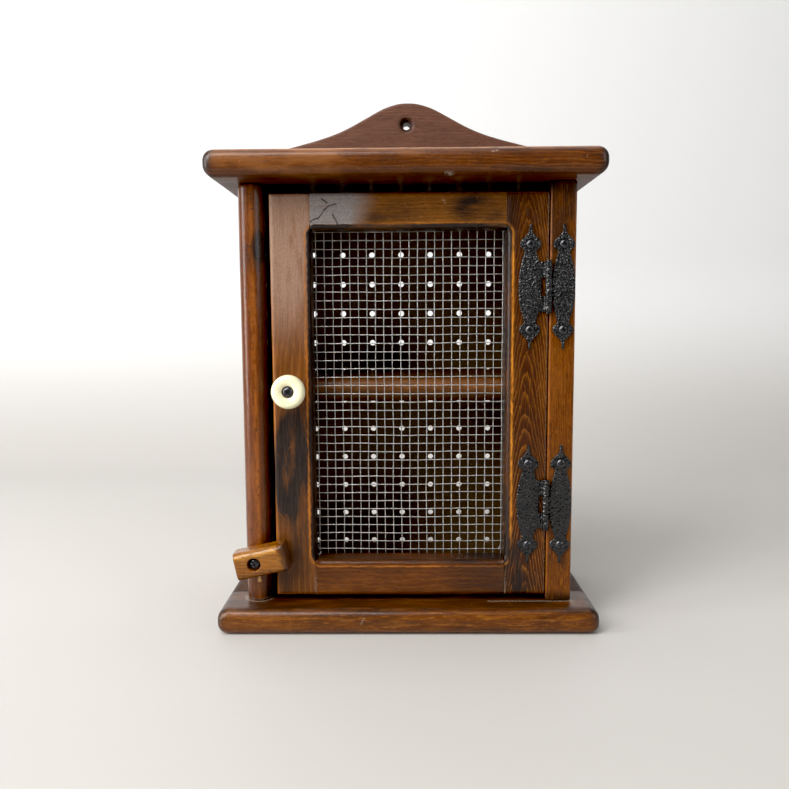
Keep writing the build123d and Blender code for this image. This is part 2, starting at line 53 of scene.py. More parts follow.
BODY = {n: body for body, nodes in frame["record"]["behaviour"]["bodies"].items() for n in nodes}
SLOT = {part["node"]: part["material_slot"] for part in frame["record"]["subparts"]}
scene = bpy.context.scene

# Places shared by several pieces, in mm
SIDE_X, SIDE_RADIUS = -112.5, 9.45              # centre and radius of the left side's round front
OPENING_X, OPENING_Z = 1.7, 172.1               # centre of the door's opening
OPENING_HALF_WIDTH, OPENING_HALF_HEIGHT = 74.9, 126.3
OPENING_CORNER = 8.7                            # corner radius
BUTTON_X, BUTTON_Z, BUTTON_TURN = -112.1, 52.3, 12.0
KNOB_X, KNOB_Z = -84.6, 178.7


# ------------------------------------------------------------------ noise and easing
def hash_cell(cell, seed):
    """Repeatable value in 0..1 for each whole-numbered cell (N x 3)."""
    i, j, k = cell.T
    n = (i * 374761393 + j * 668265263 + k * 2147483647 + seed * 974634777) & 0xFFFFFFFF
    n = ((n ^ (n >> 13)) * 1274126177) & 0xFFFFFFFF
    n = n ^ (n >> 16)
    return (n & 0xFFFFFF) / float(0xFFFFFF)


def value_noise(point, seed):
    """Smooth noise in -1..1 at the points (N x 3), one cell per unit."""
    floor = np.floor(point)
    ease = point - floor
    ease = ease * ease * ease * (ease * (ease * 6 - 15) + 10)
    cell = floor.astype(np.int64)
    total = np.zeros(len(point))
    for corner in product((0, 1), repeat=3):
        weight = np.prod(np.where(corner, ease, 1 - ease), axis=1)
        total += weight * hash_cell(cell + corner, seed)
    return total * 2 - 1


def fractal(point, seed, octaves):
    """Octaves of noise, each twice as fine and half as strong as the last."""
    total, amount, weight = np.zeros(len(point)), 1.0, 0.0
    for octave in range(octaves):
        total += amount * value_noise(point * 2 ** octave + 17.3 * octave, seed + octave)
        weight += amount
        amount *= 0.5
    return total / weight


def rise(value, low, high):
    """0 at low, easing to 1 at high."""
    t = np.clip((value - low) / (high - low), 0, 1)
    return t * t * (3 - 2 * t)


def fall(value, low, high):
    return 1 - rise(value, low, high)


def band(value, centre, width):
    """Bell curve: 1 at centre, fading over width."""
    return np.exp(-((value - centre) / width) ** 2)


# ------------------------------------------------------------------ mesh helpers
def link(name, mesh):
    ob = bpy.data.objects.new(name, mesh)
    scene.collection.objects.link(ob)
    return ob


def read_vectors(collection, field):
    flat = np.empty(len(collection) * 3, np.float32)
    collection.foreach_get(field, flat)
    return flat.reshape(-1, 3).astype(float)


def coords(mesh):
    return read_vectors(mesh.vertices, "co")


def normals(mesh):
    return read_vectors(mesh.vertex_normals, "vector")


def set_coords(mesh, co):
    mesh.vertices.foreach_set("co", np.asarray(co, np.float32).ravel())
    mesh.update()


def shade_smooth(mesh):
    mesh.polygons.foreach_set("use_smooth", np.ones(len(mesh.polygons), bool))
    mesh.update()


def put_attribute(mesh, name, values):
    attribute = mesh.attributes.new(name, "FLOAT", "POINT")
    attribute.data.foreach_set("value", np.asarray(values, np.float32))


def relax(mesh, rounds):
    """Laplacian smoothing, each round moving every vertex halfway to its neighbours' mean."""
    co = coords(mesh)
    edges = np.empty(len(mesh.edges) * 2, np.int32)
    mesh.edges.foreach_get("vertices", edges)
    start, end = edges.reshape(-1, 2).T
    degree = np.bincount(edges, minlength=len(co)).astype(float)[:, None]
    for _ in range(rounds):
        total = np.zeros_like(co)
        for axis in range(3):
            total[:, axis] = (np.bincount(start, co[end, axis], len(co))
                              + np.bincount(end, co[start, axis], len(co)))
        co += 0.5 * (total / np.maximum(degree, 1) - co)
    set_coords(mesh, co)


def welded(node, name):
    """A closed, bare copy of a CAD node's mesh."""
    mesh = CAD[node].data.copy()
    mesh.name = name
    mesh.materials.clear()
    bm = bmesh.new()
    bm.from_mesh(mesh)
    bmesh.ops.remove_doubles(bm, verts=bm.verts, dist=2e-6)
    bm.to_mesh(mesh)
    bm.free()
    for key in list(mesh.attributes.keys()):
        attribute = mesh.attributes.get(key)
        if attribute is None or attribute.is_required or attribute.is_internal:
            continue
        # some built-in attributes refuse to be removed
        try:
            mesh.attributes.remove(attribute)
        except RuntimeError:
            pass
    return link(name, mesh)


def remeshed(node, voxel):
    """The node's solid as a dense even mesh with voxels of the given size in mm."""
    name = "v_" + node
    ob = welded(node, name)
    remesh = ob.modifiers.new("voxels", "REMESH")
    remesh.mode = "VOXEL"
    remesh.voxel_size = voxel * MM
    remesh.adaptivity = 0
    remesh.use_smooth_shade = True
    graph = bpy.context.evaluated_depsgraph_get()
    dense = bpy.data.meshes.new_from_object(ob.evaluated_get(graph), depsgraph=graph)
    bpy.data.objects.remove(ob)
    dense.name = name
    shade_smooth(dense)
    return link(name, dense)


def mesh_from(name, verts, faces):
    """A smooth-shaded object from vertices in mm."""
    mesh = bpy.data.meshes.new(name)
    mesh.from_pydata([tuple(v * MM) for v in np.asarray(verts)], [], faces)
    mesh.validate()
    mesh.update()
    bm = bmesh.new()
    bm.from_mesh(mesh)
    bmesh.ops.recalc_face_normals(bm, faces=bm.faces)
    bm.to_mesh(mesh)
    bm.free()
    shade_smooth(mesh)
    return link(name, mesh)


def finish_piece(ob, material, body, slot, *nodes):
    ob.data.materials.append(material)
    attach(ob, body)
    if nodes:
        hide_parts(*nodes)


# ------------------------------------------------------------------ shader builder
def srgb(*levels):
    """Linear colour from 0..255 sRGB levels."""
    shares = [level / 255 for level in levels]
    return tuple(s / 12.92 if s <= 0.04045 else ((s + 0.055) / 1.055) ** 2.4 for s in shares)


def scaled(colour, factor):
    return tuple(factor * c for c in colour)


class Shader:
    """A material being built; place is where its textures are read, in mm."""

    def __init__(self, name):
        self.material = bpy.data.materials.new(name)
        self.material.use_nodes = True
        self.tree = self.material.node_tree
        self.tree.nodes.clear()
        output = self.new("ShaderNodeOutputMaterial")
        self.bsdf = self.new("ShaderNodeBsdfPrincipled")
        self.tree.links.new(self.bsdf.outputs[0], output.inputs[0])
        texture = self.new("ShaderNodeTexCoord")
        self.place = self.vector("MULTIPLY", texture.outputs["Object"], (1000, 1000, 1000))

    def new(self, kind, **props):
        node = self.tree.nodes.new(kind)
        for key, value in props.items():
            setattr(node, key, value)
        return node

    def put(self, socket, value):
        if isinstance(value, bpy.types.NodeSocket):
            self.tree.links.new(value, socket)
        else:
            socket.default_value = (*value, 1.0) if socket.type == "RGBA" else value

    def fill(self, node, *values):
        for socket, value in zip(node.inputs, values):
            self.put(socket, value)
        return node

    def math(self, operation, *values, clamp=False):
        node = self.new("ShaderNodeMath", operation=operation, use_clamp=clamp)
        return self.fill(node, *values).outputs[0]

    def add(self, a, b):
        return self.math("ADD", a, b)

    def sub(self, a, b):
        return self.math("SUBTRACT", a, b)

    def mul(self, a, b, clamp=False):
        return self.math("MULTIPLY", a, b, clamp=clamp)

    def total(self, first, *others):
        """Weighted sum of (value, weight) pairs."""
        result = self.mul(*first)
        for pair in others:
            result = self.add(result, self.mul(*pair))
        return result

    def linear(self, value, gain, base):
        return self.add(self.mul(value, gain), base)

    def vector(self, operation, a, b):
        return self.fill(self.new("ShaderNodeVectorMath", operation=operation), a, b).outputs[0]

    def split(self, vector):
        return self.fill(self.new("ShaderNodeSeparateXYZ"), vector).outputs

    def join(self, *parts):
        return self.fill(self.new("ShaderNodeCombineXYZ"), *parts).outputs[0]

    def texture(self, kind, per_mm, shift=None, **props):
        """A texture at place; per_mm is one frequency, or one along and one across the grain."""
        along, across = per_mm if isinstance(per_mm, tuple) else (per_mm, per_mm)
        place = self.place if shift is None else self.vector("ADD", self.place, shift)
        node = self.new(kind, **props)
        self.put(node.inputs["Vector"], self.vector("MULTIPLY", place, (along, across, across)))
        node.inputs["Scale"].default_value = 1.0
        return node

    def noise(self, per_mm, detail, rough=0.5, distort=0.0, shift=None):
        node = self.texture("ShaderNodeTexNoise", per_mm, shift)
        node.inputs["Detail"].default_value = detail
        node.inputs["Roughness"].default_value = rough
        node.inputs["Distortion"].default_value = distort
        return node.outputs["Fac"]

    def cells(self, per_mm, feature="F1", shift=None):
        return self.texture("ShaderNodeTexVoronoi", per_mm, shift, feature=feature).outputs

    def span(self, value, low, high, to=(0.0, 1.0)):
        """Ease from to[0] at low to to[1] at high."""
        node = self.new("ShaderNodeMapRange", interpolation_type="SMOOTHSTEP")
        return self.fill(node, value, low, high, *to).outputs[0]

    def mix(self, amount, base, other):
        node = self.new("ShaderNodeMix", data_type="RGBA")
        node.clamp_factor = True
        self.put(node.inputs[0], amount)
        self.put(node.inputs[6], base)
        self.put(node.inputs[7], other)
        return node.outputs[2]

    def cover(self, base, other, where, share):
        """Base with a share of the other colour laid over it through a mask."""
        return self.mix(self.mul(where, share), base, other)

    def attribute(self, name):
        return self.new("ShaderNodeAttribute", attribute_name=name).outputs["Fac"]

    def painted(self, name, pattern, low, high, to):
        """A mask painted on the mesh, broken up by a pattern."""
        return self.mul(self.attribute(name), self.span(pattern, low, high, to), clamp=True)

    def bump(self, height, strength, depth, normal=None):
        """Bump of the given depth in mm."""
        node = self.new("ShaderNodeBump")
        node.inputs["Strength"].default_value = strength
        node.inputs["Distance"].default_value = depth * MM
        self.put(node.inputs["Height"], height)
        if normal is not None:
            self.put(node.inputs["Normal"], normal)
        return node.outputs[0]

    def finish(self, **inputs):
        """Set the surface's inputs, named with _ for spaces, and return the material."""
        for name, value in inputs.items():
            self.put(self.bsdf.inputs[name.replace("_", " ")], value)
        return self.material


# ------------------------------------------------------------------ wood
# Object axes that run along, across and behind the board, by grain direction
GRAIN_AXES = {"X": (0, 2, 1), "Z": (2, 0, 1)}
BLOTCH_DARK = (0.010, 0.006, 0.005)
PATCH_COLOURS = (0.006, 0.004, 0.004), (0.035, 0.021, 0.016)
PALE_RESIDUE = (0.42, 0.36, 0.29)
NIB_COLOUR = (0.45, 0.30, 0.15)


def growth_rings(mat, offset, pith, slope, ring, line_sharp, warp):
    """Rings cut lengthwise: the distance from the pith, and a mask of the late growth."""
    along, across, behind = mat.split(mat.place)
    wander = mat.noise((0.010, 0.035), detail=2.5, rough=0.55)
    bend = mat.mul(mat.sub(wander, 0.5), warp * 4)
    across = mat.sub(across, offset[1] + pith[0])
    behind = mat.sub(behind, offset[2] + pith[1])
    radius = mat.math("SQRT", mat.add(mat.mul(across, across), mat.mul(behind, behind)))
    radius = mat.add(mat.add(radius, mat.mul(along, slope)), bend)
    fine = mat.mul(mat.sub(mat.noise((0.05, 0.6), detail=2), 0.5), 0.9)
    saw = mat.math("FRACT", mat.add(mat.math("DIVIDE", radius, ring), fine))
    late = mat.math("POWER", saw, 1.0 / (1.0 - line_sharp))
    late = mat.mul(late, mat.span(saw, 0.93, 1.0, to=(1.0, 0.0)))
    vary = mat.noise((0.004, 0.02), detail=1)
    return radius, mat.mul(late, mat.span(vary, 0.3, 0.65, to=(0.35, 1.0)))


def wood(name, grain, early, late, worn, offset, pith, slope, ring, ring_mix, line_sharp=0.75,
         fleck=0.35, fibre=0.5, blotch=0.5, gloss=0.32, coat=0.35, end=(0.02, 0.012, 0.01),
         warp=3.0, residue=(0.035, 0.026, 0.024)):
    """Stained and varnished softwood.

    early and late are the two kinds of growth and worn is rubbed stain, as sRGB levels.  pith is
    the tree's centre in mm across and behind the board, slope how fast it wanders along it, and
    ring the ring spacing in mm.  end is the end grain, and the last argument is the colour laid
    where the grey mask is painted, partly a real grey cast and partly a painted sheen; both are
    linear colours.
    """
    early, late, worn = srgb(*early), srgb(*late), srgb(*worn)
    mat = Shader(name)
    axes = GRAIN_AXES[grain]
    parts = mat.split(mat.place)
    mat.place = mat.vector("ADD", mat.join(*(parts[axis] for axis in axes)), offset)
    radius, late_mask = growth_rings(mat, offset, pith, slope, ring, line_sharp, warp)
    colour = mat.cover(early, late, late_mask, share=ring_mix)
    dark = mat.mix(0.75, colour, scaled(early, 0.25))
    light = mat.mix(0.55, colour, late)
    # fibres and pores
    coarse = mat.noise((0.035, 1.7), detail=5, rough=0.62)
    fine = mat.noise((0.16, 5.0), detail=3, rough=0.6)
    fibres = mat.total((coarse, 0.65), (fine, 0.35))
    colour = mat.cover(colour, dark, mat.span(fibres, 0.36, 0.50, to=(1.0, 0.0)), share=fibre)
    colour = mat.cover(colour, light, mat.span(fibres, 0.52, 0.68), share=fibre * 0.8)
    pores = mat.noise((0.14, 3.1), detail=2, rough=0.55, shift=(3, 9, 27))
    colour = mat.cover(colour, dark, mat.span(pores, 0.60, 0.68), share=0.55)
    # small bird's-eye flecks
    flecks = mat.noise((0.22, 0.75), detail=3, rough=0.65, distort=0.6)
    colour = mat.cover(colour, light, mat.span(flecks, 0.56, 0.70), share=fleck)
    colour = mat.cover(colour, dark, mat.span(flecks, 0.44, 0.30), share=fleck)
    # uneven stain
    stain = mat.total((mat.noise((0.007, 0.03), detail=3, rough=0.6, distort=0.8), 0.6),
                      (mat.noise((0.03, 0.09), detail=3, rough=0.6), 0.4))
    colour = mat.cover(colour, mat.mix(0.78, colour, BLOTCH_DARK),
                       mat.span(stain, 0.50, 0.36), share=blotch)
    colour = mat.cover(colour, mat.mix(0.5, colour, worn),
                       mat.span(stain, 0.52, 0.66), share=blotch * 0.5)
    # painted on the mesh: rubbed stain that also holds painted highlights, a grey cast that also
    # serves as a painted sheen, dark patches that also hold painted shade, and pale marks
    rubbed = mat.noise((0.12, 0.4), detail=4, rough=0.65)
    # lighter where painted: rubbed stain, and painted highlights on the shelf front, the button's
    # upper edge and the rounding around the door's opening
    wear_and_highlight = mat.painted("wear_and_highlight", rubbed, 0.30, 0.62, to=(0.25, 1.25))
    colour = mat.mix(wear_and_highlight, colour, mat.mix(mat.span(fibres, 0.4, 0.6), scaled(worn, 0.62), worn))
    # the grey mask: painted sheen on the left stile's upper part, and on the top rail's left end
    # partly a real grey cast and partly painted sheen
    broken = mat.noise((0.03, 0.16), detail=4, rough=0.6)
    grey = mat.painted("grey", broken, 0.25, 0.6, to=(0.5, 1.2))
    film_and_sheen_tone = mat.total((fibres, 0.4), (mat.noise((0.8, 2.4), detail=3, rough=0.7), 0.6))
    film_and_sheen_tone = mat.mix(mat.span(film_and_sheen_tone, 0.38, 0.62), scaled(residue, 0.66), scaled(residue, 1.18))
    colour = mat.cover(colour, film_and_sheen_tone, grey, share=0.92)
    # dark patches: stains and cracks, and painted shade on the rounding into the door's opening
    patch = mat.painted("dark", broken, 0.28, 0.62, to=(0.35, 1.3))
    colour = mat.mix(patch, colour, mat.mix(mat.span(fibres, 0.38, 0.62), *PATCH_COLOURS))
    dusty = mat.noise(0.9, detail=4, rough=0.7)
    pale = mat.painted("pale", dusty, 0.42, 0.60, to=(0.0, 1.3))
    colour = mat.mix(pale, colour, PALE_RESIDUE)
    # dust nibs caught in the varnish
    nib = mat.cells(0.085)
    nibs = mat.mul(mat.span(nib["Distance"], 0.034, 0.018),
                   mat.span(mat.split(nib["Color"])[0], 0.70, 0.74))
    colour = mat.cover(colour, NIB_COLOUR, nibs, share=0.6)
    # faces inside the case were never varnished, and their colour is darkened here as painted shade
    unvarnished_and_shaded = mat.attribute("unvarnished_and_shaded")
    colour = mat.cover(colour, scaled(early, 0.35), unvarnished_and_shaded, share=0.7)
    # end grain takes stain much darker
    normal = mat.split(mat.new("ShaderNodeNewGeometry").outputs["Normal"])
    end_face = mat.span(mat.math("ABSOLUTE", normal[axes[0]]), 0.55, 0.85)
    end_rings = mat.math("SINE", mat.mul(radius, 6.283 / ring))
    end_colour = mat.mix(mat.span(end_rings, -0.6, 0.8), end, scaled(end, 2.4))
    colour = mat.cover(colour, end_colour, end_face, share=0.88)
    # hairline scratches
    hair = mat.cells((0.018, 0.22), "DISTANCE_TO_EDGE", shift=(13, 7, 3))["Distance"]
    hair = mat.mul(mat.span(hair, 0.0, 0.006, to=(1.0, 0.0)),
                   mat.span(mat.noise((0.02, 0.05), detail=2), 0.52, 0.62))
    colour = mat.cover(colour, worn, hair, share=0.35)
    # surface
    sheen = mat.noise((0.03, 0.12), detail=4, rough=0.6)
    rough = mat.linear(sheen, gain=0.22, base=gloss - 0.09)
    for mask, gain in ((pale, 0.35), (wear_and_highlight, 0.10), (end_face, 0.12), (unvarnished_and_shaded, 0.45)):
        rough = mat.add(rough, mat.mul(mask, gain))
    height = mat.total((coarse, 0.9), (fine, 0.35))
    height = mat.sub(height, mat.mul(hair, 0.8))
    height = mat.add(height, mat.mul(late_mask, 0.25))
    height = mat.sub(height, mat.mul(mat.span(pores, 0.60, 0.68), 0.6))
    relief = mat.bump(height, strength=0.8, depth=0.16)
    peel = mat.noise((0.45, 1.0), detail=4, rough=0.6)
    coat_height = mat.add(peel, mat.mul(coarse, 0.5))
    return mat.finish(
        Base_Color=colour, Roughness=rough, IOR=1.46,
        Normal=mat.bump(peel, strength=0.5, depth=0.2, normal=relief),
        Coat_Weight=mat.mul(mat.sub(1.0, unvarnished_and_shaded), coat * 0.62), Coat_Roughness=0.14,
        Coat_Normal=mat.bump(coat_height, strength=0.5, depth=0.18),
        Specular_IOR_Level=mat.mul(mat.sub(1.0, mat.mul(unvarnished_and_shaded, 0.8)), 0.27))


# Each board's material: name, grain, early, late and worn sRGB levels,
# texture offset in mm, pith, slope, ring spacing, ring strength, and what differs from the usual
WOODS = {
    "base_board": ("wood_base", "X", (96, 50, 10), (166, 104, 32), (206, 134, 52),
                   (40, 11, 5), (6, 34), 0.02, 3.0, 0.6,
                   dict(gloss=0.30, coat=0.5, blotch=0.7, fleck=0.65, fibre=0.65)),
    "top_board": ("wood_top", "X", (84, 42, 10), (142, 84, 30), (206, 136, 72),
                  (310, 4, 60), (-8, 30), 0.015, 2.6, 0.55,
                  dict(gloss=0.30, coat=0.5, blotch=0.7, fleck=0.6, fibre=0.65)),
    "crest_board": ("wood_crest", "X", (98, 64, 50), (132, 96, 78), (152, 108, 78),
                    (120, 31, 9), (-60, 40), 0.02, 2.4, 0.5,
                    dict(gloss=0.46, coat=0.10, blotch=0.6, fleck=0.5, fibre=0.65)),
    "left_side": ("wood_left", "Z", (94, 45, 12), (146, 86, 30), (186, 108, 40),
                  (70, 3, 14), (10, 26), 0.012, 3.4, 0.55,
                  dict(gloss=0.24, coat=0.7, fleck=0.2)),
    "right_side": ("wood_right", "Z", (100, 52, 8), (164, 98, 24), (190, 116, 44),
                   (500, 13, 3), (-4, 60), 0.004, 1.8, 0.5,
                   dict(blotch=0.8, fleck=0.8, fibre=0.95)),
    "shelf": ("wood_shelf", "X", (82, 48, 22), (126, 80, 40), (168, 108, 58),
              (220, 45, 2), (5, 28), 0.02, 2.8, 0.5,
              dict(gloss=0.38, coat=0.3)),
    "door_left_stile": ("wood_stile_left", "Z", (98, 56, 22), (150, 96, 44), (200, 122, 46),
                        (150, 21, 33), (14, 22), 0.02, 3.8, 0.55,
                        dict(gloss=0.34, coat=0.3, blotch=0.6, residue=srgb(148, 118, 100))),
    "door_right_stile": ("wood_stile_right", "Z", (62, 28, 8), (192, 120, 32), (214, 136, 44),
                         (0, 0, 0), (87, -5.4), 0.145, 1.75, 0.95,
                         dict(line_sharp=0.80, gloss=0.34, blotch=0.35, fleck=0.2, warp=1.5)),
    "door_top_rail": ("wood_rail_top", "X", (108, 66, 26), (168, 112, 48), (206, 128, 46),
                      (330, 9, 71), (4, 40), 0.012, 2.6, 0.45,
                      dict(gloss=0.34, fleck=0.7, residue=srgb(134, 128, 126))),
    "door_bottom_rail": ("wood_rail_bottom", "X", (84, 44, 13), (128, 76, 28), (188, 112, 42),
                         (90, 19, 27), (-3, 36), 0.012, 2.7, 0.5,
                         dict(gloss=0.34, blotch=0.6, fleck=0.6, fibre=0.65)),
    "turn_button": ("wood_button", "X", (122, 70, 12), (180, 116, 32), (226, 166, 84),
                    (610, 5, 8), (3, 18), 0.03, 2.4, 0.6,
                    dict(gloss=0.22, coat=0.8, blotch=0.4, fleck=0.4, end=srgb(74, 48, 36))),
}
wood_of = {node: wood(*row[:-1], **row[-1]) for node, row in WOODS.items()}


# ------------------------------------------------------------------ other materials
def black_metal(name, tone, rough, metallic):
    """Black enamelled iron, with a painted highlight on its high ridges."""
    mat = Shader(name)
    cloudy = mat.noise(0.9, detail=4, rough=0.6)
    fine = mat.noise(3.2, detail=3, rough=0.6)
    colour = mat.mix(mat.span(cloudy, 0.35, 0.7),
                     (tone, tone, tone * 1.15), (tone * 2, tone * 2, tone * 2.2))
    # painted highlight along the hammered ridges
    colour = mat.cover(colour, (tone * 7, tone * 7.3, tone * 8.2), mat.attribute("ridge_highlight"),
                       share=0.5)
    dust = mat.span(mat.noise(0.5, detail=4, rough=0.7), 0.60, 0.74)
    colour = mat.cover(colour, (0.16, 0.13, 0.10), dust, share=0.08)
    height = mat.total((cloudy, 0.6), (fine, 0.4))
    return mat.finish(
        Base_Color=colour, Metallic=metallic, Coat_Weight=0.35, Coat_Roughness=0.05,
        Roughness=mat.linear(fine, gain=0.16, base=rough - 0.08),
        Normal=mat.bump(height, strength=0.45, depth=0.12), Specular_IOR_Level=0.5)


def zinc_metal(name, base, rough):
    """Zinc-coated metal with brown oxide in patches."""
    mat = Shader(name)
    cloudy = mat.noise(0.7, detail=5, rough=0.65)
    fine = mat.noise(4, detail=3, rough=0.6)
    oxide = mat.span(mat.noise(0.12, detail=4, rough=0.65), 0.52, 0.70)
    colour = mat.mix(mat.span(cloudy, 0.3, 0.7), scaled(base, 0.62), scaled(base, 1.3))
    colour = mat.cover(colour, (0.23, 0.19, 0.15), oxide, share=0.45)
    return mat.finish(
        Base_Color=colour, Metallic=0.85, Roughness=mat.linear(fine, gain=0.3, base=rough - 0.15),
        Normal=mat.bump(mat.add(cloudy, fine), strength=0.4, depth=0.05))


def ivory():
    """Yellowed ivory plastic, with painted shade in the screw recess and where it meets the door."""
    mat = Shader("ivory_plastic")
    broad = mat.noise(0.08, detail=3, rough=0.6)
    specks = mat.noise(1.2, detail=4, rough=0.6)
    colour = mat.mix(mat.span(broad, 0.35, 0.65), srgb(238, 232, 188), srgb(242, 237, 202))
    colour = mat.cover(colour, srgb(214, 196, 140), mat.span(specks, 0.60, 0.72), share=0.18)
    # painted shade in the screw recess and at the foot against the door
    colour = mat.cover(colour, srgb(150, 118, 70), mat.attribute("recess_shade"), share=0.75)
    return mat.finish(
        Base_Color=colour, Roughness=mat.linear(specks, gain=0.14, base=0.16),
        Coat_Weight=0.5, Coat_Roughness=0.08,
        Normal=mat.bump(mat.noise(0.35, detail=3), strength=0.25, depth=0.12),
        Subsurface_Weight=0.12, Subsurface_Radius=(0.004, 0.003, 0.002), Subsurface_Scale=0.5)


def hardboard():
    """Brown pressed fibreboard with fine felted fibres."""
    mat = Shader("hardboard")
    fibres = mat.noise(1.3, detail=6, rough=0.7, distort=1.2)
    mottle = mat.noise(0.05, detail=4, rough=0.6)
    specks = mat.cells(0.55)["Distance"]
    colour = mat.mix(mat.span(fibres, 0.32, 0.68), srgb(74, 54, 32), srgb(120, 94, 60))
    colour = mat.cover(colour, srgb(104, 74, 48), mat.span(mottle, 0.4, 0.62), share=0.5)
    colour = mat.cover(colour, srgb(128, 98, 66), mat.span(specks, 0.10, 0.02), share=0.5)
    return mat.finish(Base_Color=colour, Roughness=mat.linear(fibres, gain=0.25, base=0.5),
                      Normal=mat.bump(fibres, strength=0.5, depth=0.15))


def bare_dowel():
    mat = Shader("dowel_birch")
    fibres = mat.noise((0.05, 2.2), detail=5, rough=0.6)
    colour = mat.mix(mat.span(fibres, 0.35, 0.65), srgb(168, 132, 88), srgb(214, 184, 138))
    return mat.finish(Base_Color=colour, Roughness=0.7,
                      Normal=mat.bump(fibres, strength=0.5, depth=0.15))


def varnish():
    mat = Shader("varnish")
    cloudy = mat.span(mat.noise(0.5, detail=3), 0.35, 0.65)
    return mat.finish(
        Base_Color=mat.mix(cloudy, srgb(176, 120, 44), srgb(214, 166, 84)),
        Roughness=0.18, Coat_Weight=0.8, Coat_Roughness=0.05,
        Normal=mat.bump(mat.noise(0.8, detail=3), strength=0.3, depth=0.1))


def backdrop_material():
    """A pale floor, easing to a lighter grey up the backdrop."""
    near_colour, far_colour = (0.52, 0.50, 0.475), (0.76, 0.76, 0.76)
    mat = Shader("pale_floor")
    cloudy = mat.span(mat.noise(0.002, detail=3), 0.3, 0.7)
    z = mat.split(mat.place)[2]
    colour = mat.mix(cloudy, scaled(near_colour, 0.985), near_colour)
    colour = mat.mix(mat.span(z, 10.0, 300.0), colour, far_colour)
    return mat.finish(Base_Color=colour, Roughness=0.65)


# ------------------------------------------------------------------ painted masks
# Soft dark ellipses on the fronts: strength, centre x, z, radii in x, z, turn in degrees, softness
STAINS = {
    "left_side": ((1.15, -105.8, 283, 5.2, 12, 8, 0.6), (0.55, -111, 276, 6, 12, 0, 0.9)),
    "left_stile": ((1.35, -86, 124, 17, 46, -4, 0.45), (0.6, -76, 150, 7, 34, 0, 0.8),
                   (0.6, -80, 70, 9, 34, 0, 0.8), (0.45, -92, 48, 8, 26, 0, 0.8)),
    "right_stile": ((0.8, 79, 45, 9, 30, 0, 0.7), (0.5, 88, 34, 12, 14, 0, 0.7),
                    (0.6, 76, 300, 5, 24, 0, 0.8)),
    "top_rail": ((0.9, 46, 309, 16, 12, 10, 0.8), (0.45, -6, 306, 18, 9, 0, 0.9),
                 (0.8, 64, 300, 8, 12, 0, 0.8), (0.6, -24, 299, 10, 8, 0, 0.9)),
}
# Broken lines on the fronts, as x, z points
SIDE_CRACK = ((-115, 283.5), (-110, 281.6), (-104, 282.4))
RAIL_CRACKS = (
    ((-69.0, 299.5), (-67.0, 300.9), (-62.8, 302.0), (-60.3, 305.3), (-57.9, 308.4),
     (-55.0, 310.8), (-50.0, 312.0)),
    ((-52.7, 305.0), (-50.1, 300.1), (-47.7, 295.1)),
    ((-59.9, 315.6), (-56.4, 312.7)),
)


def stains(point, name):
    """Sum of the named set of stains."""
    total = np.zeros(len(point))
    for strength, x_mid, z_mid, x_radius, z_radius, turn, soft in STAINS[name]:
        cos, sin = math.cos(math.radians(turn)), math.sin(math.radians(turn))
        dx, dz = point[:, 0] - x_mid, point[:, 2] - z_mid
        distance = np.hypot((dx * cos + dz * sin) / x_radius, (dz * cos - dx * sin) / z_radius)
        total += strength * fall(distance, 1 - soft, 1 + soft * 0.4)
    return total


def spot(point, centre, radii):
    """Bell-shaped ellipsoid."""
    return np.exp(-np.sum(((point - centre) / radii) ** 2, axis=1))


def near_line(point, line, width):
    """1 on a broken line drawn on the front, 0 away from it."""
    x, _, z = point.T
    best = np.full(len(point), 1e9)
    for (ax, az), (bx, bz) in zip(line[:-1], line[1:]):
        dx, dz = bx - ax, bz - az
        share = np.clip(((x - ax) * dx + (z - az) * dz) / (dx * dx + dz * dz), 0, 1)
        best = np.minimum(best, np.hypot(x - ax - share * dx, z - az - share * dz))
    best = best + 0.25 * value_noise(point * 1.1, 4)
    return np.exp(-np.maximum(best, 0) ** 2 / width ** 2)


def reveal(point, waver=0.25):
    """Wavering distance in mm outward from the outline of the door's opening."""
    dx = np.abs(point[:, 0] - OPENING_X) - (OPENING_HALF_WIDTH - OPENING_CORNER)
    dz = np.abs(point[:, 2] - OPENING_Z) - (OPENING_HALF_HEIGHT - OPENING_CORNER)
    outside = np.hypot(np.maximum(dx, 0), np.maximum(dz, 0))
    distance = outside + np.minimum(np.maximum(dx, dz), 0) - OPENING_CORNER
    return distance + waver * value_noise(point * 0.35, 3)


def box_edges(point):
    """Distance from each point to the nearest of its bounding box's twelve arrises."""
    gap = np.minimum(point - point.min(0), point.max(0) - point)
    return np.minimum.reduce([np.sqrt(gap[:, a] ** 2 + gap[:, b] ** 2)
                              for a, b in ((0, 1), (0, 2), (1, 2))])


# Each paint function takes points in mm, their normals and their distance to the arrises.
# It returns 0..1 masks: rubbed stain with painted highlights, dark patches with painted shade, a
# grey cast with painted sheen, pale marks, and unvarnished faces inside the case, darkened as
# painted shade.
def paint_base(point, normal, edge):
    x, y, z = point.T
    top = rise(normal[:, 2], 0.6, 0.95)
    # pale outline around the foot of the left side
    around = np.hypot(x - SIDE_X, y - 9.5)
    beside = np.abs(x - SIDE_X)
    ring = band(around, 10.4, 0.8) * (y < 10) + band(beside, 10.2, 0.7) * (y >= 10) * (y < 40) * 0.5
    pale = ring * top * 1.3
    pale += band(y, -0.8, 0.8) * top * (x > 60) * (x < 124) * 0.8
    pale += near_line(point, ((-34.1, 9.4), (-31.9, 13.1)), width=0.35) * (y < -17) * 0.8
    rubbed = rise(fractal(point * (0.07, 0.3, 0.6), seed=8, octaves=3), 0.1, 0.5)
    return {"dark": rise(np.abs(x), 130, 138) * 0.6 + top * 0.5, "pale": pale,
            # the top inside the case is darkened as painted shade
            "wear_and_highlight": rubbed * (y < -13) * 0.22, "unvarnished_and_shaded": top * (y > 20) * 0.6}


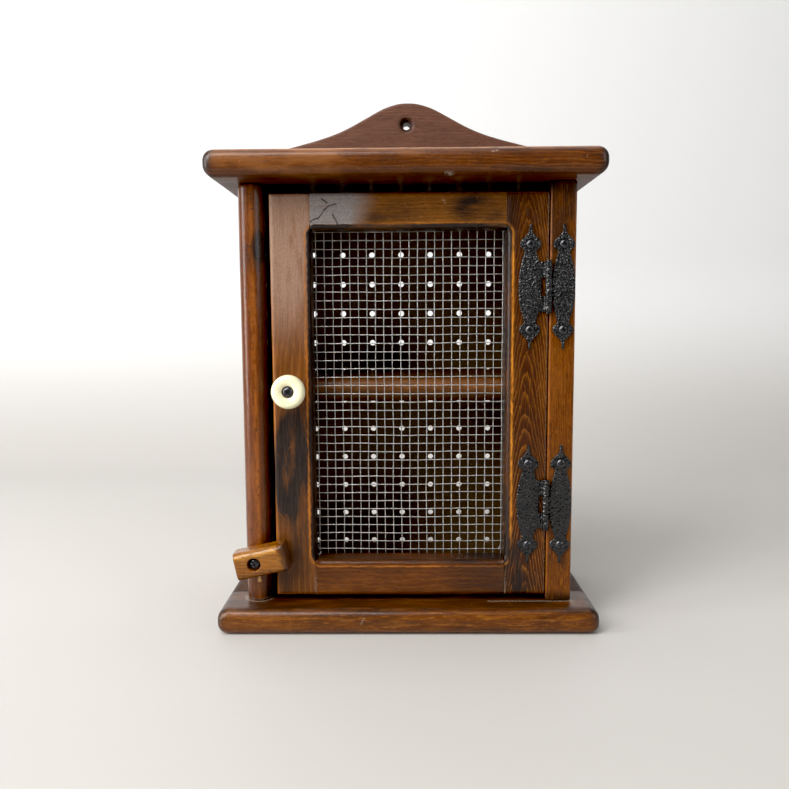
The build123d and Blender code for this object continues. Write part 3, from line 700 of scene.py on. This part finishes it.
def paint_top(point, normal, edge):
    x, y, z = point.T
    ends = rise(np.abs(x), 129, 137)
    # chips and short scratches on the front moulding
    pale = spot(point, (30.1, -23, 328.2), (1.8, 5, 1.0))
    pale += 0.8 * spot(point, (27.5, -23, 328.9), (0.9, 5, 0.7))
    pale += 0.5 * near_line(point, ((58.5, 342.3), (62.0, 343.0)), width=0.4) * (y < -14)
    pale += 0.5 * near_line(point, ((64, 345.4), (69, 345.9)), width=0.4) * (y < -12)
    arris = band(z, 345.6, 0.8) * (y < -15)
    return {"dark": ends * 0.85, "pale": pale * 1.8, "wear_and_highlight": arris * 0.6 * (1 - ends),
            # the underside is darkened as painted shade
            "unvarnished_and_shaded": rise(-normal[:, 2], 0.75, 0.95) * 0.45}


def paint_left_side(point, normal, edge):
    x, y, z = point.T
    front = y < 9
    # a knot with a crack, then both ends and a streak up the front
    dark = stains(point, "left_side") + near_line(point, SIDE_CRACK, width=0.5) * front
    dark += rise(z, 321, 327) * 0.5 + fall(z, 20, 40) * 0.45
    dark += band(x, -105.5, 2.0) * 0.35 * front
    pits = rise(fractal(point * (0.9, 0.9, 0.45), seed=31, octaves=2), 0.52, 0.62) * 0.7
    return {"dark": dark + pits * (y < 8), "pale": fall(z, 19.2, 21.4) * (y < 14) * 0.8,
            "wear_and_highlight": band(x, -111.0, 1.8) * front * 0.5 * (normal[:, 1] < -0.2),
            # the face inside the case is darkened as painted shade
            "unvarnished_and_shaded": rise(normal[:, 0], 0.6, 0.95) * rise(y, 10, 16)}


def paint_right_side(point, normal, edge):
    x, y, z = point.T
    return {"dark": rise(z, 314, 325) * 0.8 + fall(z, 20, 29) * 0.75,
            "pale": fall(z, 19.2, 20.4) * (y < 2) * 0.4, "wear_and_highlight": fall(edge, 0.4, 1.6) * 0.7,
            # the face inside the case is darkened as painted shade
            "unvarnished_and_shaded": rise(-normal[:, 0], 0.6, 0.95) * (y > 3)}


def paint_crest(point, normal, edge):
    x, y, z = point.T
    disc = np.exp(-(np.hypot(x - 1.0, z - 391.2) / 5.9) ** 4)
    scuff = rise(fractal(point * (0.12, 0.5, 0.7), seed=12, octaves=3), 0.35, 0.6)
    return {"dark": disc * 0.8 + rise(normal[:, 2], 0.5, 0.9) * 0.35,
            "pale": scuff * fall(z, 350, 372) * 0.35, "wear_and_highlight": fall(edge, 0.4, 1.6) * 0.3}


def paint_shelf(point, normal, edge):
    x, y, z = point.T
    # the lighter band along the upper part of the rounded front is a painted highlight
    return {"dark": rise(np.abs(x), 92, 103) * 0.4, "wear_and_highlight": band(z, 180, 4) * (y < 27) * 0.5}


def paint_left_stile(point, normal, edge):
    x, y, z = point.T
    outward = reveal(point, waver=0.35)
    # rubbed along the outer arris, and a lighter band around the opening that is partly rubbed stain
    # and partly a painted highlight on the rounding
    wear_and_highlight = fall(edge, 0.4, 2.6) * np.where(x < -84, 0.75, 0.0)
    wear_and_highlight += band(outward, -0.3, 0.75) * 0.75 * (y < 3)
    dark = stains(point, "left_stile") * (1 - np.clip(wear_and_highlight, 0, 1))
    # the rounding into the opening is darkened as painted shade
    return {"dark": dark + rise(-outward, 1.0, 2.4) * 1.3,
            # the upper part is painted paler and pinker, a painted sheen
            "grey": rise(z, 196, 262) * 0.95 * (1 - wear_and_highlight),
            "pale": band(x, -69.2, 0.5) * fall(z, 30, 46) * 0.45, "wear_and_highlight": wear_and_highlight}


def paint_right_stile(point, normal, edge):
    x, y, z = point.T
    outward = reveal(point)
    dark = stains(point, "right_stile") + fall(z, 23.5, 26) * 0.5
    # pale lines beside the bottom rail's joint and down the outer arris
    pale = band(x, 72.6, 0.5) * fall(z, 30, 48) * 0.4 + band(x, 102.2, 0.6) * (y < 2) * 0.45
    # a lighter band around the opening, partly rubbed stain and partly a painted highlight on the
    # rounding, and a lighter line along the top
    wear_and_highlight = band(outward, 0.2, 0.75) * 0.95 * (y < 2) + band(z, 319.6, 0.7) * 0.5
    # the rounding into the opening is darkened as painted shade
    return {"dark": dark + rise(-outward, 0.5, 1.8) * 0.85, "pale": pale, "wear_and_highlight": wear_and_highlight}


def paint_top_rail(point, normal, edge):
    x, y, z = point.T
    outward = reveal(point)
    # the left end gets the grey cast, partly a real grey cast and partly a painted sheen
    grey = fall(x + 6 * value_noise(point * 0.06, 2), -46, -16) * fall(-outward, 0.2, 1.0)
    cracks = [near_line(point, line, width=0.42) for line in RAIL_CRACKS]
    # the cracks, and painted shade on the rounding into the opening
    cracks_and_shade = np.maximum.reduce(cracks) * (y < 5) + rise(-outward, 0.4, 1.4) * 1.2
    scratch = near_line(point, ((26.0, 316.3), (27.9, 311.4)), width=0.3)
    return {"grey": grey, "dark": stains(point, "top_rail") * (1 - grey) + cracks_and_shade * 1.2,
            "pale": scratch * 0.6 * (y < 3),
            # a lighter line along the opening, partly rubbed stain and partly a painted highlight
            "wear_and_highlight": band(outward, 0.1, 0.6) * (y < 2) * 0.5 * rise(x, -40, -10)}


def paint_bottom_rail(point, normal, edge):
    x, y, z = point.T
    outward = reveal(point)
    dark = rise(x, 10, 66) * 0.5 + fall(z, 23.5, 27) * 0.35
    ends = band(x, x.min(), 0.5) + band(x, x.max(), 0.5)
    # a lighter line along the opening, partly rubbed stain and partly a painted highlight, and a
    # lighter bottom edge
    wear_and_highlight = band(outward, 0.1, 0.55) * (y < 2) * 0.8 + fall(z, 23.3, 25.5) * 0.4
    # the rounding into the opening is darkened as painted shade
    return {"dark": dark + rise(-outward, 1.5, 3.6) * 0.45,
            "pale": ends * fall(z, 30, 46) * 0.42, "wear_and_highlight": wear_and_highlight}


def paint_button(point, normal, edge):
    x, y, z = point.T
    cos, sin = math.cos(math.radians(BUTTON_TURN)), math.sin(math.radians(BUTTON_TURN))
    along = (x - BUTTON_X) * cos + (z - BUTTON_Z) * sin
    across = (z - BUTTON_Z) * cos - (x - BUTTON_X) * sin
    # both ends, the lower edge and scattered blotches
    dark = rise(along + 0.8 * value_noise(point * 0.5, 6), 18.8, 21.5) * 0.5
    dark += fall(along, -14.2, -13.0) * 0.5 + fall(across, -9.8, -7.6) * 0.35
    dark += rise(fractal(point * 0.45, seed=19, octaves=2), 0.30, 0.5) * 0.35
    # the lighter band along the upper edge is a painted highlight
    return {"dark": dark, "wear_and_highlight": band(across, 7.5, 2.0) * (along < 18) * 0.5}


# ------------------------------------------------------------------ boards
# Voxel size in mm, smoothing rounds, unevenness in mm, edge dents, paint; in the order of the seeds
BOARDS = {
    "base_board": (1.15, 2, 0.10, 14, paint_base),
    "top_board": (1.15, 2, 0.10, 14, paint_top),
    "left_side": (1.05, 2, 0.10, 6, paint_left_side),
    "right_side": (1.05, 1, 0.08, 8, paint_right_side),
    "crest_board": (0.75, 2, 0.08, 8, paint_crest),
    "shelf": (0.95, 2, 0.08, 5, paint_shelf),
    "door_left_stile": (0.6, 2, 0.06, 12, paint_left_stile),
    "door_right_stile": (0.6, 2, 0.06, 10, paint_right_stile),
    "door_top_rail": (0.5, 2, 0.05, 5, paint_top_rail),
    "door_bottom_rail": (0.5, 2, 0.05, 6, paint_bottom_rail),
    "turn_button": (0.42, 8, 0.16, 6, paint_button),
}
# Chips in the moulding: centre x, y, z, radius, depth
CHIPS = {"top_board": ((30.1, -21.0, 327.9, 2.4, 1.1), (27.5, -22.0, 328.5, 1.6, 0.7),
                       (66, -17, 346, 2.0, 0.5), (-40, -17, 346, 1.8, 0.4))}
MASKS = ("wear_and_highlight", "dark", "grey", "pale", "unvarnished_and_shaded")


def dent(co, point, normal, spots, rng, depth, radius):
    """Press small dents into the surface around the spots; all but co are in mm."""
    for centre in spots:
        reach = radius * (0.5 + rng.random())
        distance = np.linalg.norm(point - centre, axis=1)
        near = distance < reach
        if near.any():
            press = depth * (0.4 + 0.8 * rng.random()) * (1 - (distance[near] / reach) ** 2) ** 2
            co[near] -= normal[near] * (press * MM)[:, None]


def board(node, seed, voxel, soften, wobble, dents, paint):
    """One board with soft arrises, slightly uneven faces, dents, and its masks painted."""
    ob = remeshed(node, voxel)
    mesh = ob.data
    relax(mesh, soften)
    co, normal = coords(mesh), normals(mesh)
    point = co / MM
    rng = np.random.default_rng(seed)
    co += normal * (fractal(point * 0.03, seed, octaves=2) * wobble * MM)[:, None]
    co += normal * (fractal(point * 0.16, seed + 5, octaves=2) * wobble * 0.3 * MM)[:, None]
    edge = box_edges(point)
    near = np.where(edge < 1.2)[0]
    if len(near):
        spots = point[rng.choice(near, min(dents, len(near)), replace=False)]
        dent(co, point, normal, spots, rng, depth=0.32, radius=2.2)
    spots = point[rng.choice(len(point), 6, replace=False)]
    dent(co, point, normal, spots, rng, depth=0.14, radius=2.6)
    for *centre, radius, depth in CHIPS.get(node, ()):
        # wider in x than in z, with a ragged rim
        distance = np.linalg.norm((point - centre) * (0.75, 1.0, 1.25), axis=1)
        distance = distance * (1 + 0.25 * value_noise(point * 1.3, seed + 9))
        near = distance < radius
        press = depth * (1 - (distance[near] / radius) ** 2)
        co[near] -= normal[near] * (press * MM)[:, None]
    set_coords(mesh, co)
    painted = paint(point, normal, edge)
    for name in MASKS:
        put_attribute(mesh, name, np.clip(painted.get(name, np.zeros(len(point))), 0, 1))
    finish_piece(ob, wood_of[node], BODY[node], SLOT[node], node)


for seed, (node, settings) in enumerate(BOARDS.items(), start=1):
    board(node, seed, *settings)


# ------------------------------------------------------------------ wire cloth
PITCH = 6.35
COLUMNS, ROWS = 27, 43
CLOTH_LEFT = -67.67 - 2 * PITCH
CLOTH_TOP = 294.46 + 2 * PITCH
CLOTH_RIGHT = CLOTH_LEFT + PITCH * (COLUMNS - 1)
CLOTH_BOTTOM = CLOTH_TOP - PITCH * (ROWS - 1)
WIRE_RADIUS, WIRE_SIDES = 0.36, 7
UPRIGHT_Y = 20.35 - WIRE_RADIUS - 0.02          # upright wires lie behind
LEVEL_Y = UPRIGHT_Y - 1.55 * WIRE_RADIUS        # level wires in front, fused where they cross
UPRIGHT_SEEDS, LEVEL_SEEDS = (3, 5), (7, 9)     # broad and fine drift
WELD_HALF_DEPTH, WELD_RINGS, WELD_SIDES = 0.50, 4, 6
# Bent strands in the lower corners of the opening, as x, y, z points
STRANDS = (
    ((-69.2, 18.0, 57.0), (-68.6, 15.6, 56.2), (-67.4, 14.6, 55.0), (-67.0, 15.0, 53.4),
     (-67.8, 16.6, 52.6)),
    ((-70.2, 18.6, 54.6), (-69.4, 14.5, 52.2), (-68.2, 12.0, 50.9), (-66.8, 12.2, 51.4),
     (-65.9, 13.8, 53.0)),
    ((71.5, 18.4, 57.2), (70.8, 15.8, 56.0), (69.6, 14.9, 54.4), (70.2, 15.8, 52.8)),
)


def tube(path, radius, verts, faces):
    """Append a round wire along the path, with closed ends."""
    tangents = np.gradient(path, axis=0)
    tangents /= np.linalg.norm(tangents, axis=1)[:, None]
    base, sides = len(verts), WIRE_SIDES
    up = np.cross(tangents[0], (0.0, 1.0, 0.0))
    up /= np.linalg.norm(up)
    for centre, tangent in zip(path, tangents):
        up = up - tangent * np.dot(up, tangent)
        up /= np.linalg.norm(up)
        side = np.cross(tangent, up)
        for k in range(sides):
            angle = 2 * math.pi * k / sides
            verts.append(centre + radius * (math.cos(angle) * up + math.sin(angle) * side))
    for i in range(len(path) - 1):
        for k in range(sides):
            a, b = base + i * sides + k, base + i * sides + (k + 1) % sides
            faces.append((a, b, b + sides, a + sides))
    faces.append(tuple(base + k for k in reversed(range(sides))))
    faces.append(tuple(base + (len(path) - 1) * sides + k for k in range(sides)))


def drift(x, z, seeds):
    """Slow sideways wander of the wires."""
    flat = np.stack([x, z, np.zeros(len(x))], 1)
    return 0.30 * value_noise(flat * 0.02, seeds[0]) + 0.16 * value_noise(flat * 0.09, seeds[1])


def lean(along, row, seed):
    """Each wire's own slight bend."""
    return 0.12 * value_noise(np.stack([along * 0.05, np.full(len(along), row), along * 0], 1), seed)


def wires(rng):
    verts, faces = [], []

    def overhang():
        return 0.5 + rng.random() * 0.4

    for i in range(COLUMNS):
        z = np.linspace(CLOTH_TOP + overhang(), CLOTH_BOTTOM - overhang(), (ROWS - 1) * 2 + 1)
        x = np.full(len(z), CLOTH_LEFT + PITCH * i)
        bent = x + drift(x, z, UPRIGHT_SEEDS) + lean(z, i * 3.1, seed=11)
        tube(np.stack([bent, np.full(len(z), UPRIGHT_Y), z], 1), WIRE_RADIUS, verts, faces)
    for j in range(ROWS):
        x = np.linspace(CLOTH_LEFT - overhang(), CLOTH_RIGHT + overhang(), (COLUMNS - 1) * 2 + 1)
        z = np.full(len(x), CLOTH_TOP - PITCH * j)
        bent = z + drift(x, z, LEVEL_SEEDS) + lean(x, j * 2.3, seed=13)
        tube(np.stack([x, np.full(len(x), LEVEL_Y), bent], 1), WIRE_RADIUS, verts, faces)
    return mesh_from("v_wire_mesh", verts, faces)


def welds(rng):
    """Zinc fillets where the wires cross, as small rounded beads."""
    verts, faces = [], []
    i, j = np.meshgrid(np.arange(COLUMNS), np.arange(ROWS), indexing="ij")
    x, z = CLOTH_LEFT + PITCH * i.ravel(), CLOTH_TOP - PITCH * j.ravel()
    pole, sides = np.array([0, WELD_HALF_DEPTH, 0]), WELD_SIDES
    for bead_x, bead_z in zip(x + drift(x, z, UPRIGHT_SEEDS), z + drift(x, z, LEVEL_SEEDS)):
        base = len(verts)
        radius = 0.52 + 0.12 * rng.random()
        centre = np.array([bead_x, (UPRIGHT_Y + LEVEL_Y) / 2, bead_z])
        verts.append(centre - pole)
        for ring in range(1, WELD_RINGS):
            polar = math.pi * ring / WELD_RINGS
            out = radius * math.sin(polar)
            for k in range(sides):
                angle = 2 * math.pi * k / sides
                verts.append(centre - pole * math.cos(polar)
                             + np.array([out * math.cos(angle), 0, out * math.sin(angle)]))
        verts.append(centre + pole)
        last = base + 1 + (WELD_RINGS - 2) * sides
        for k in range(sides):
            after = (k + 1) % sides
            faces.append((base, base + 1 + after, base + 1 + k))
            for start in range(base + 1, last, sides):
                faces.append((start + k, start + after, start + sides + after, start + sides + k))
            faces.append((last + k, last + after, last + sides))
    return mesh_from("v_wire_welds", verts, faces)


def strands():
    verts, faces = [], []
    for points in STRANDS:
        count = len(points)
        steps = np.linspace(0, count - 1, count * 6)
        path = np.stack([np.interp(steps, range(count), axis) for axis in zip(*points)], 1)
        for _ in range(3):
            path[1:-1] = (path[:-2] + path[1:-1] + path[2:]) / 3
        tube(path, WIRE_RADIUS * 0.9, verts, faces)
    return mesh_from("v_wire_strays", verts, faces)


wire_rng = np.random.default_rng(5)
zinc = zinc_metal("galvanised", base=(0.56, 0.56, 0.55), rough=0.38)
finish_piece(wires(wire_rng), zinc, "door", "galvanised_wire", "wire_mesh")
finish_piece(welds(wire_rng), zinc, "door", "galvanised_wire")
finish_piece(strands(), zinc, "door", "galvanised_wire")


# ------------------------------------------------------------------ hammered hinges
MARK_DEPTH, MARK_SPACING = 0.46, 1.9
LEAF_X = {"door": 89.0, "frame": 113.0}
HINGE_Z = {"upper": 252.2, "lower": 93.0}
FLAT_OFFSET = 30.6      # flat round patches lie this far above and below the leaf's middle


def hammer(mesh, seed, x_mid, z_mid):
    """Shallow hammer marks with ridges between, pressed into the front of a leaf, and the ridges
    kept as a mask for a painted highlight.
    """
    co, normal = coords(mesh), normals(mesh)
    point = co / MM
    rng = np.random.default_rng(seed)
    low, high = point.min(0) - 3, point.max(0) + 3
    x, z = np.meshgrid(np.arange(low[0], high[0], MARK_SPACING),
                       np.arange(low[2], high[2], MARK_SPACING), indexing="ij")
    marks = np.stack([x.ravel(), np.zeros(x.size), z.ravel()], 1)
    for axis in (0, 2):
        marks[:, axis] += (rng.random(len(marks)) - 0.5) * MARK_SPACING * 1.1
    size = 0.75 + 0.5 * rng.random(len(marks))
    tree = KDTree(len(marks))
    for i, mark in enumerate(marks):
        tree.insert(mark, i)
    tree.balance()
    warped_x = point[:, 0] + 0.5 * fractal(point * 0.6, seed + 1, octaves=2)
    warped_z = point[:, 2] + 0.5 * fractal(point * 0.6, seed + 2, octaves=2)
    height, ridge_highlight = np.zeros(len(point)), np.zeros(len(point))
    for i in range(len(point)):
        found = tree.find_n((warped_x[i], 0.0, warped_z[i]), 2)
        first, second = (distance / size[index] for _, index, distance in found)
        height[i] = min(first / (MARK_SPACING * 0.62), 1.0) ** 2
        ridge_highlight[i] = max(0.0, 1 - abs(second - first) / 0.45)
    front = rise(-normal[:, 1], 0.0, 0.6)
    for offset in (-FLAT_OFFSET, FLAT_OFFSET):
        front = front * rise(np.hypot(point[:, 0] - x_mid, point[:, 2] - z_mid - offset), 3.3, 4.4)
    bump = (height - 0.75) * MARK_DEPTH + 0.06 * fractal(point * 1.3, seed + 3, octaves=2)
    set_coords(mesh, co + normal * (bump * front * MM)[:, None])
    # mask of the ridges, where the colour gets a painted highlight
    put_attribute(mesh, "ridge_highlight", np.clip(ridge_highlight * front, 0, 1))


iron = black_metal("hammered_iron", tone=0.0030, rough=0.18, metallic=0.0)
screw_black = black_metal("black_screw_steel", tone=0.030, rough=0.20, metallic=0.5)
for seed, (level, side) in enumerate(product(("upper", "lower"), ("door", "frame")), start=20):
    node = f"{level}_hinge_{side}_leaf"
    leaf = remeshed(node, voxel=0.27)
    relax(leaf.data, rounds=2)
    hammer(leaf.data, seed, LEAF_X[side], HINGE_Z[level])
    finish_piece(leaf, iron, BODY[node], SLOT[node], node)


# ------------------------------------------------------------------ knob
# Closed outline: radius, distance forward of the door's face
KNOB_OUTLINE = (
    (2.1, 0), (6.8, 0), (6.95, 0.5), (6.8, 1.0), (6.3, 2.0), (5.9, 3.2), (5.7, 4.4), (5.7, 5.6),
    (6.1, 7.0), (6.9, 8.2), (8.1, 9.4), (9.6, 10.6), (10.9, 11.5), (11.75, 12.6), (12.2, 13.7),
    (12.3, 14.8), (12.15, 15.9), (11.75, 17.0), (11.1, 17.9), (10.2, 18.55), (9.2, 18.85),
    (8.1, 18.86), (7.0, 18.65), (6.0, 18.3), (5.1, 17.9), (4.5, 17.5), (4.25, 17.1), (4.2, 16.6),
    (4.2, 16.2), (2.1, 16.2),
)
KNOB_SEGMENTS = 96


def door_knob():
    verts, faces, count = [], [], KNOB_SEGMENTS
    for radius, forward in KNOB_OUTLINE:
        for k in range(count):
            angle = 2 * math.pi * k / count
            verts.append(np.array([KNOB_X + radius * math.cos(angle), -forward,
                                   KNOB_Z + radius * math.sin(angle)]))
    for i in range(len(KNOB_OUTLINE)):
        j = (i + 1) % len(KNOB_OUTLINE)
        for k in range(count):
            after = (k + 1) % count
            faces.append((i * count + k, i * count + after, j * count + after, j * count + k))
    knob = mesh_from("v_door_knob", verts, faces)
    subdivide = knob.modifiers.new("sub", "SUBSURF")
    subdivide.levels = subdivide.render_levels = 1
    x, y, z = (coords(knob.data) / MM).T
    recess = (np.hypot(x - KNOB_X, z - KNOB_Z) < 4.4) & (y < -15)
    # painted shade: the screw recess and the last 0.7 mm against the door
    put_attribute(knob.data, "recess_shade", recess.astype(float) + (y > -0.7) * 0.6)
    finish_piece(knob, ivory(), "door", "ivory_knob", "door_knob")


door_knob()


# ------------------------------------------------------------------ run of varnish
RUN_X, RUN_TOP, RUN_LENGTH = -111.3, 40.6, 7.0
RUN_HALF_TOP, RUN_HALF_MAX = 0.45, 1.5          # half widths of the trail and the drop
RUN_ROWS, RUN_COLUMNS = 14, 20
RUN_ROUNDING = 0.80                             # share of the length where the drop's end begins


def varnish_run():
    """A drip below the turn button, on the round front of the left side."""
    verts, faces = [], []
    for i in range(RUN_ROWS + 1):
        down = i / RUN_ROWS
        tip = max(0.0, (down - RUN_ROUNDING) / (1 - RUN_ROUNDING))
        swell = rise(down, 0.40, 0.78) * math.sqrt(1 - tip ** 2)
        half = RUN_HALF_TOP + (RUN_HALF_MAX - RUN_HALF_TOP) * swell
        for k in range(RUN_COLUMNS + 1):
            across = -1 + 2 * k / RUN_COLUMNS
            x = RUN_X + half * across
            side_y = SIDE_RADIUS - math.sqrt(SIDE_RADIUS ** 2 - (x - SIDE_X) ** 2)
            lift = 0.22 * half / RUN_HALF_MAX * (1 - across * across) ** 0.7
            verts.append(np.array([x, side_y - lift + 0.05, RUN_TOP - RUN_LENGTH * down]))
    stride = RUN_COLUMNS + 1
    for i in range(RUN_ROWS):
        for k in range(RUN_COLUMNS):
            a = i * stride + k
            faces.append((a, a + 1, a + stride + 1, a + stride))
    run = mesh_from("v_varnish_run", verts, faces)
    thick = run.modifiers.new("thick", "SOLIDIFY")
    thick.thickness = 0.16 * MM
    thick.offset = 0
    finish_piece(run, varnish(), "cabinet", SLOT["left_side"])


varnish_run()


# ------------------------------------------------------------------ small parts kept from the CAD
def dress(material, *nodes):
    for node in nodes:
        ob = CAD[node]
        ob.data.materials.clear()
        ob.data.materials.append(material)


dress(screw_black, "hinge_door_screws", "hinge_frame_screws", "knob_screw", "turn_button_screw")
dress(iron, "upper_hinge_pin", "lower_hinge_pin")
dress(zinc_metal("zinc_screw", base=(0.5, 0.5, 0.48), rough=0.35), "base_screws", "crest_screws")
dress(zinc_metal("nail_wire", base=(0.40, 0.39, 0.37), rough=0.42),
      "top_board_nails", "shelf_nails", "pegboard_nails")
dress(zinc_metal("staple_wire", base=(0.58, 0.58, 0.56), rough=0.33), "mesh_staples")
dress(hardboard(), "pegboard_back")
dress(bare_dowel(), "door_dowels")

# ------------------------------------------------------------------ room, in metres
ROOM_HALF_WIDTH, FLOOR_FRONT, WALL_Y, WALL_TOP, COVE_RADIUS = 2.6, -1.0, 0.90, 2.6, 0.35
# Lights: name, place, target, width, height, power, colour
LIGHTS = (
    ("key", (-1.15, -1.15, 1.25), (0, 0.0, 0.22), 0.8, 1.0, 27, (1.0, 0.985, 0.955)),
    ("left_window", (-1.45, -0.45, 0.55), (0, 0.0, 0.22), 0.45, 1.3, 18, (0.98, 0.99, 1.0)),
    ("overhead", (-0.45, -0.80, 1.65), (-0.05, 0.0, 0.3), 0.9, 0.6, 15, (1, 1, 1)),
    ("fill", (1.35, -1.0, 0.8), (0, 0.05, 0.2), 1.0, 1.0, 7, (0.98, 0.99, 1.0)),
    ("back_wash", (0.0, 0.15, 2.3), (0, 0.80, 0.45), 1.8, 0.5, 9, (1, 1, 1)),
)


def cyclorama():
    """Floor curving up into a back wall."""
    cove = [(WALL_Y - COVE_RADIUS + COVE_RADIUS * math.sin(a), COVE_RADIUS * (1 - math.cos(a)))
            for a in np.linspace(0, math.pi / 2, 17)]
    outline = [(FLOOR_FRONT, 0.0), *cove, (WALL_Y, WALL_TOP)]
    verts = [(x, y, z) for y, z in outline for x in (-ROOM_HALF_WIDTH, ROOM_HALF_WIDTH)]
    faces = [(2 * i, 2 * i + 1, 2 * i + 3, 2 * i + 2) for i in range(len(outline) - 1)]
    mesh = bpy.data.meshes.new("cyclorama")
    mesh.from_pydata(verts, [], faces)
    floor = link("cyclorama", mesh)
    shade_smooth(mesh)
    mesh.materials.append(backdrop_material())


def area_light(name, place, target, width, height, power, colour):
    light = bpy.data.lights.new(name, "AREA")
    light.shape = "RECTANGLE"
    light.size, light.size_y = width, height
    light.energy, light.color = power, colour
    ob = link(name, light)
    ob.location = place
    ob.rotation_mode = "QUATERNION"
    ob.rotation_quaternion = (Vector(target) - Vector(place)).to_track_quat("-Z", "Y")


cyclorama()
world = bpy.data.worlds.new("studio")
world.use_nodes = True
background = world.node_tree.nodes["Background"]
background.inputs["Color"].default_value = (1.0, 0.99, 0.97, 1)
background.inputs["Strength"].default_value = 0.16
scene.world = world
for row in LIGHTS:
    area_light(*row)

# ------------------------------------------------------------------ camera
CAMERA_PLACE = (-1.68, -541.38, 229.21)         # mm
YAW, DOWNWARD_TILT, ROLL = -0.0135, 0.0997, 0.0061      # radians
FOCAL_LENGTH, SENSOR_WIDTH = 33.929886, 36      # mm


def add_camera():
    cos_yaw, sin_yaw = math.cos(YAW), math.sin(YAW)
    cos_tilt, sin_tilt = math.cos(DOWNWARD_TILT), math.sin(DOWNWARD_TILT)
    forward = Vector((cos_tilt * sin_yaw, cos_tilt * cos_yaw, -sin_tilt))
    level_up = Vector((sin_tilt * sin_yaw, sin_tilt * cos_yaw, cos_tilt))
    level_right = Vector((cos_yaw, -sin_yaw, 0))
    right = level_right * math.cos(ROLL) - level_up * math.sin(ROLL)
    up = level_right * math.sin(ROLL) + level_up * math.cos(ROLL)
    lens = bpy.data.cameras.new("camera")
    lens.sensor_width = SENSOR_WIDTH
    lens.lens = FOCAL_LENGTH
    lens.clip_start, lens.clip_end = 0.01, 20
    camera = link("camera", lens)
    rows = [(right[i], up[i], -forward[i], CAMERA_PLACE[i] * MM) for i in range(3)]
    camera.matrix_world = Matrix((*rows, (0, 0, 0, 1)))
    scene.camera = camera


add_camera()
view = scene.view_settings
view.view_transform = "Standard"
view.look = "None"
view.exposure = 0.0
# a small neutral black level, as a camera's curve has
view.use_curve_mapping = True
view.curve_mapping.black_level = (0.010, 0.010, 0.010)
view.curve_mapping.update()
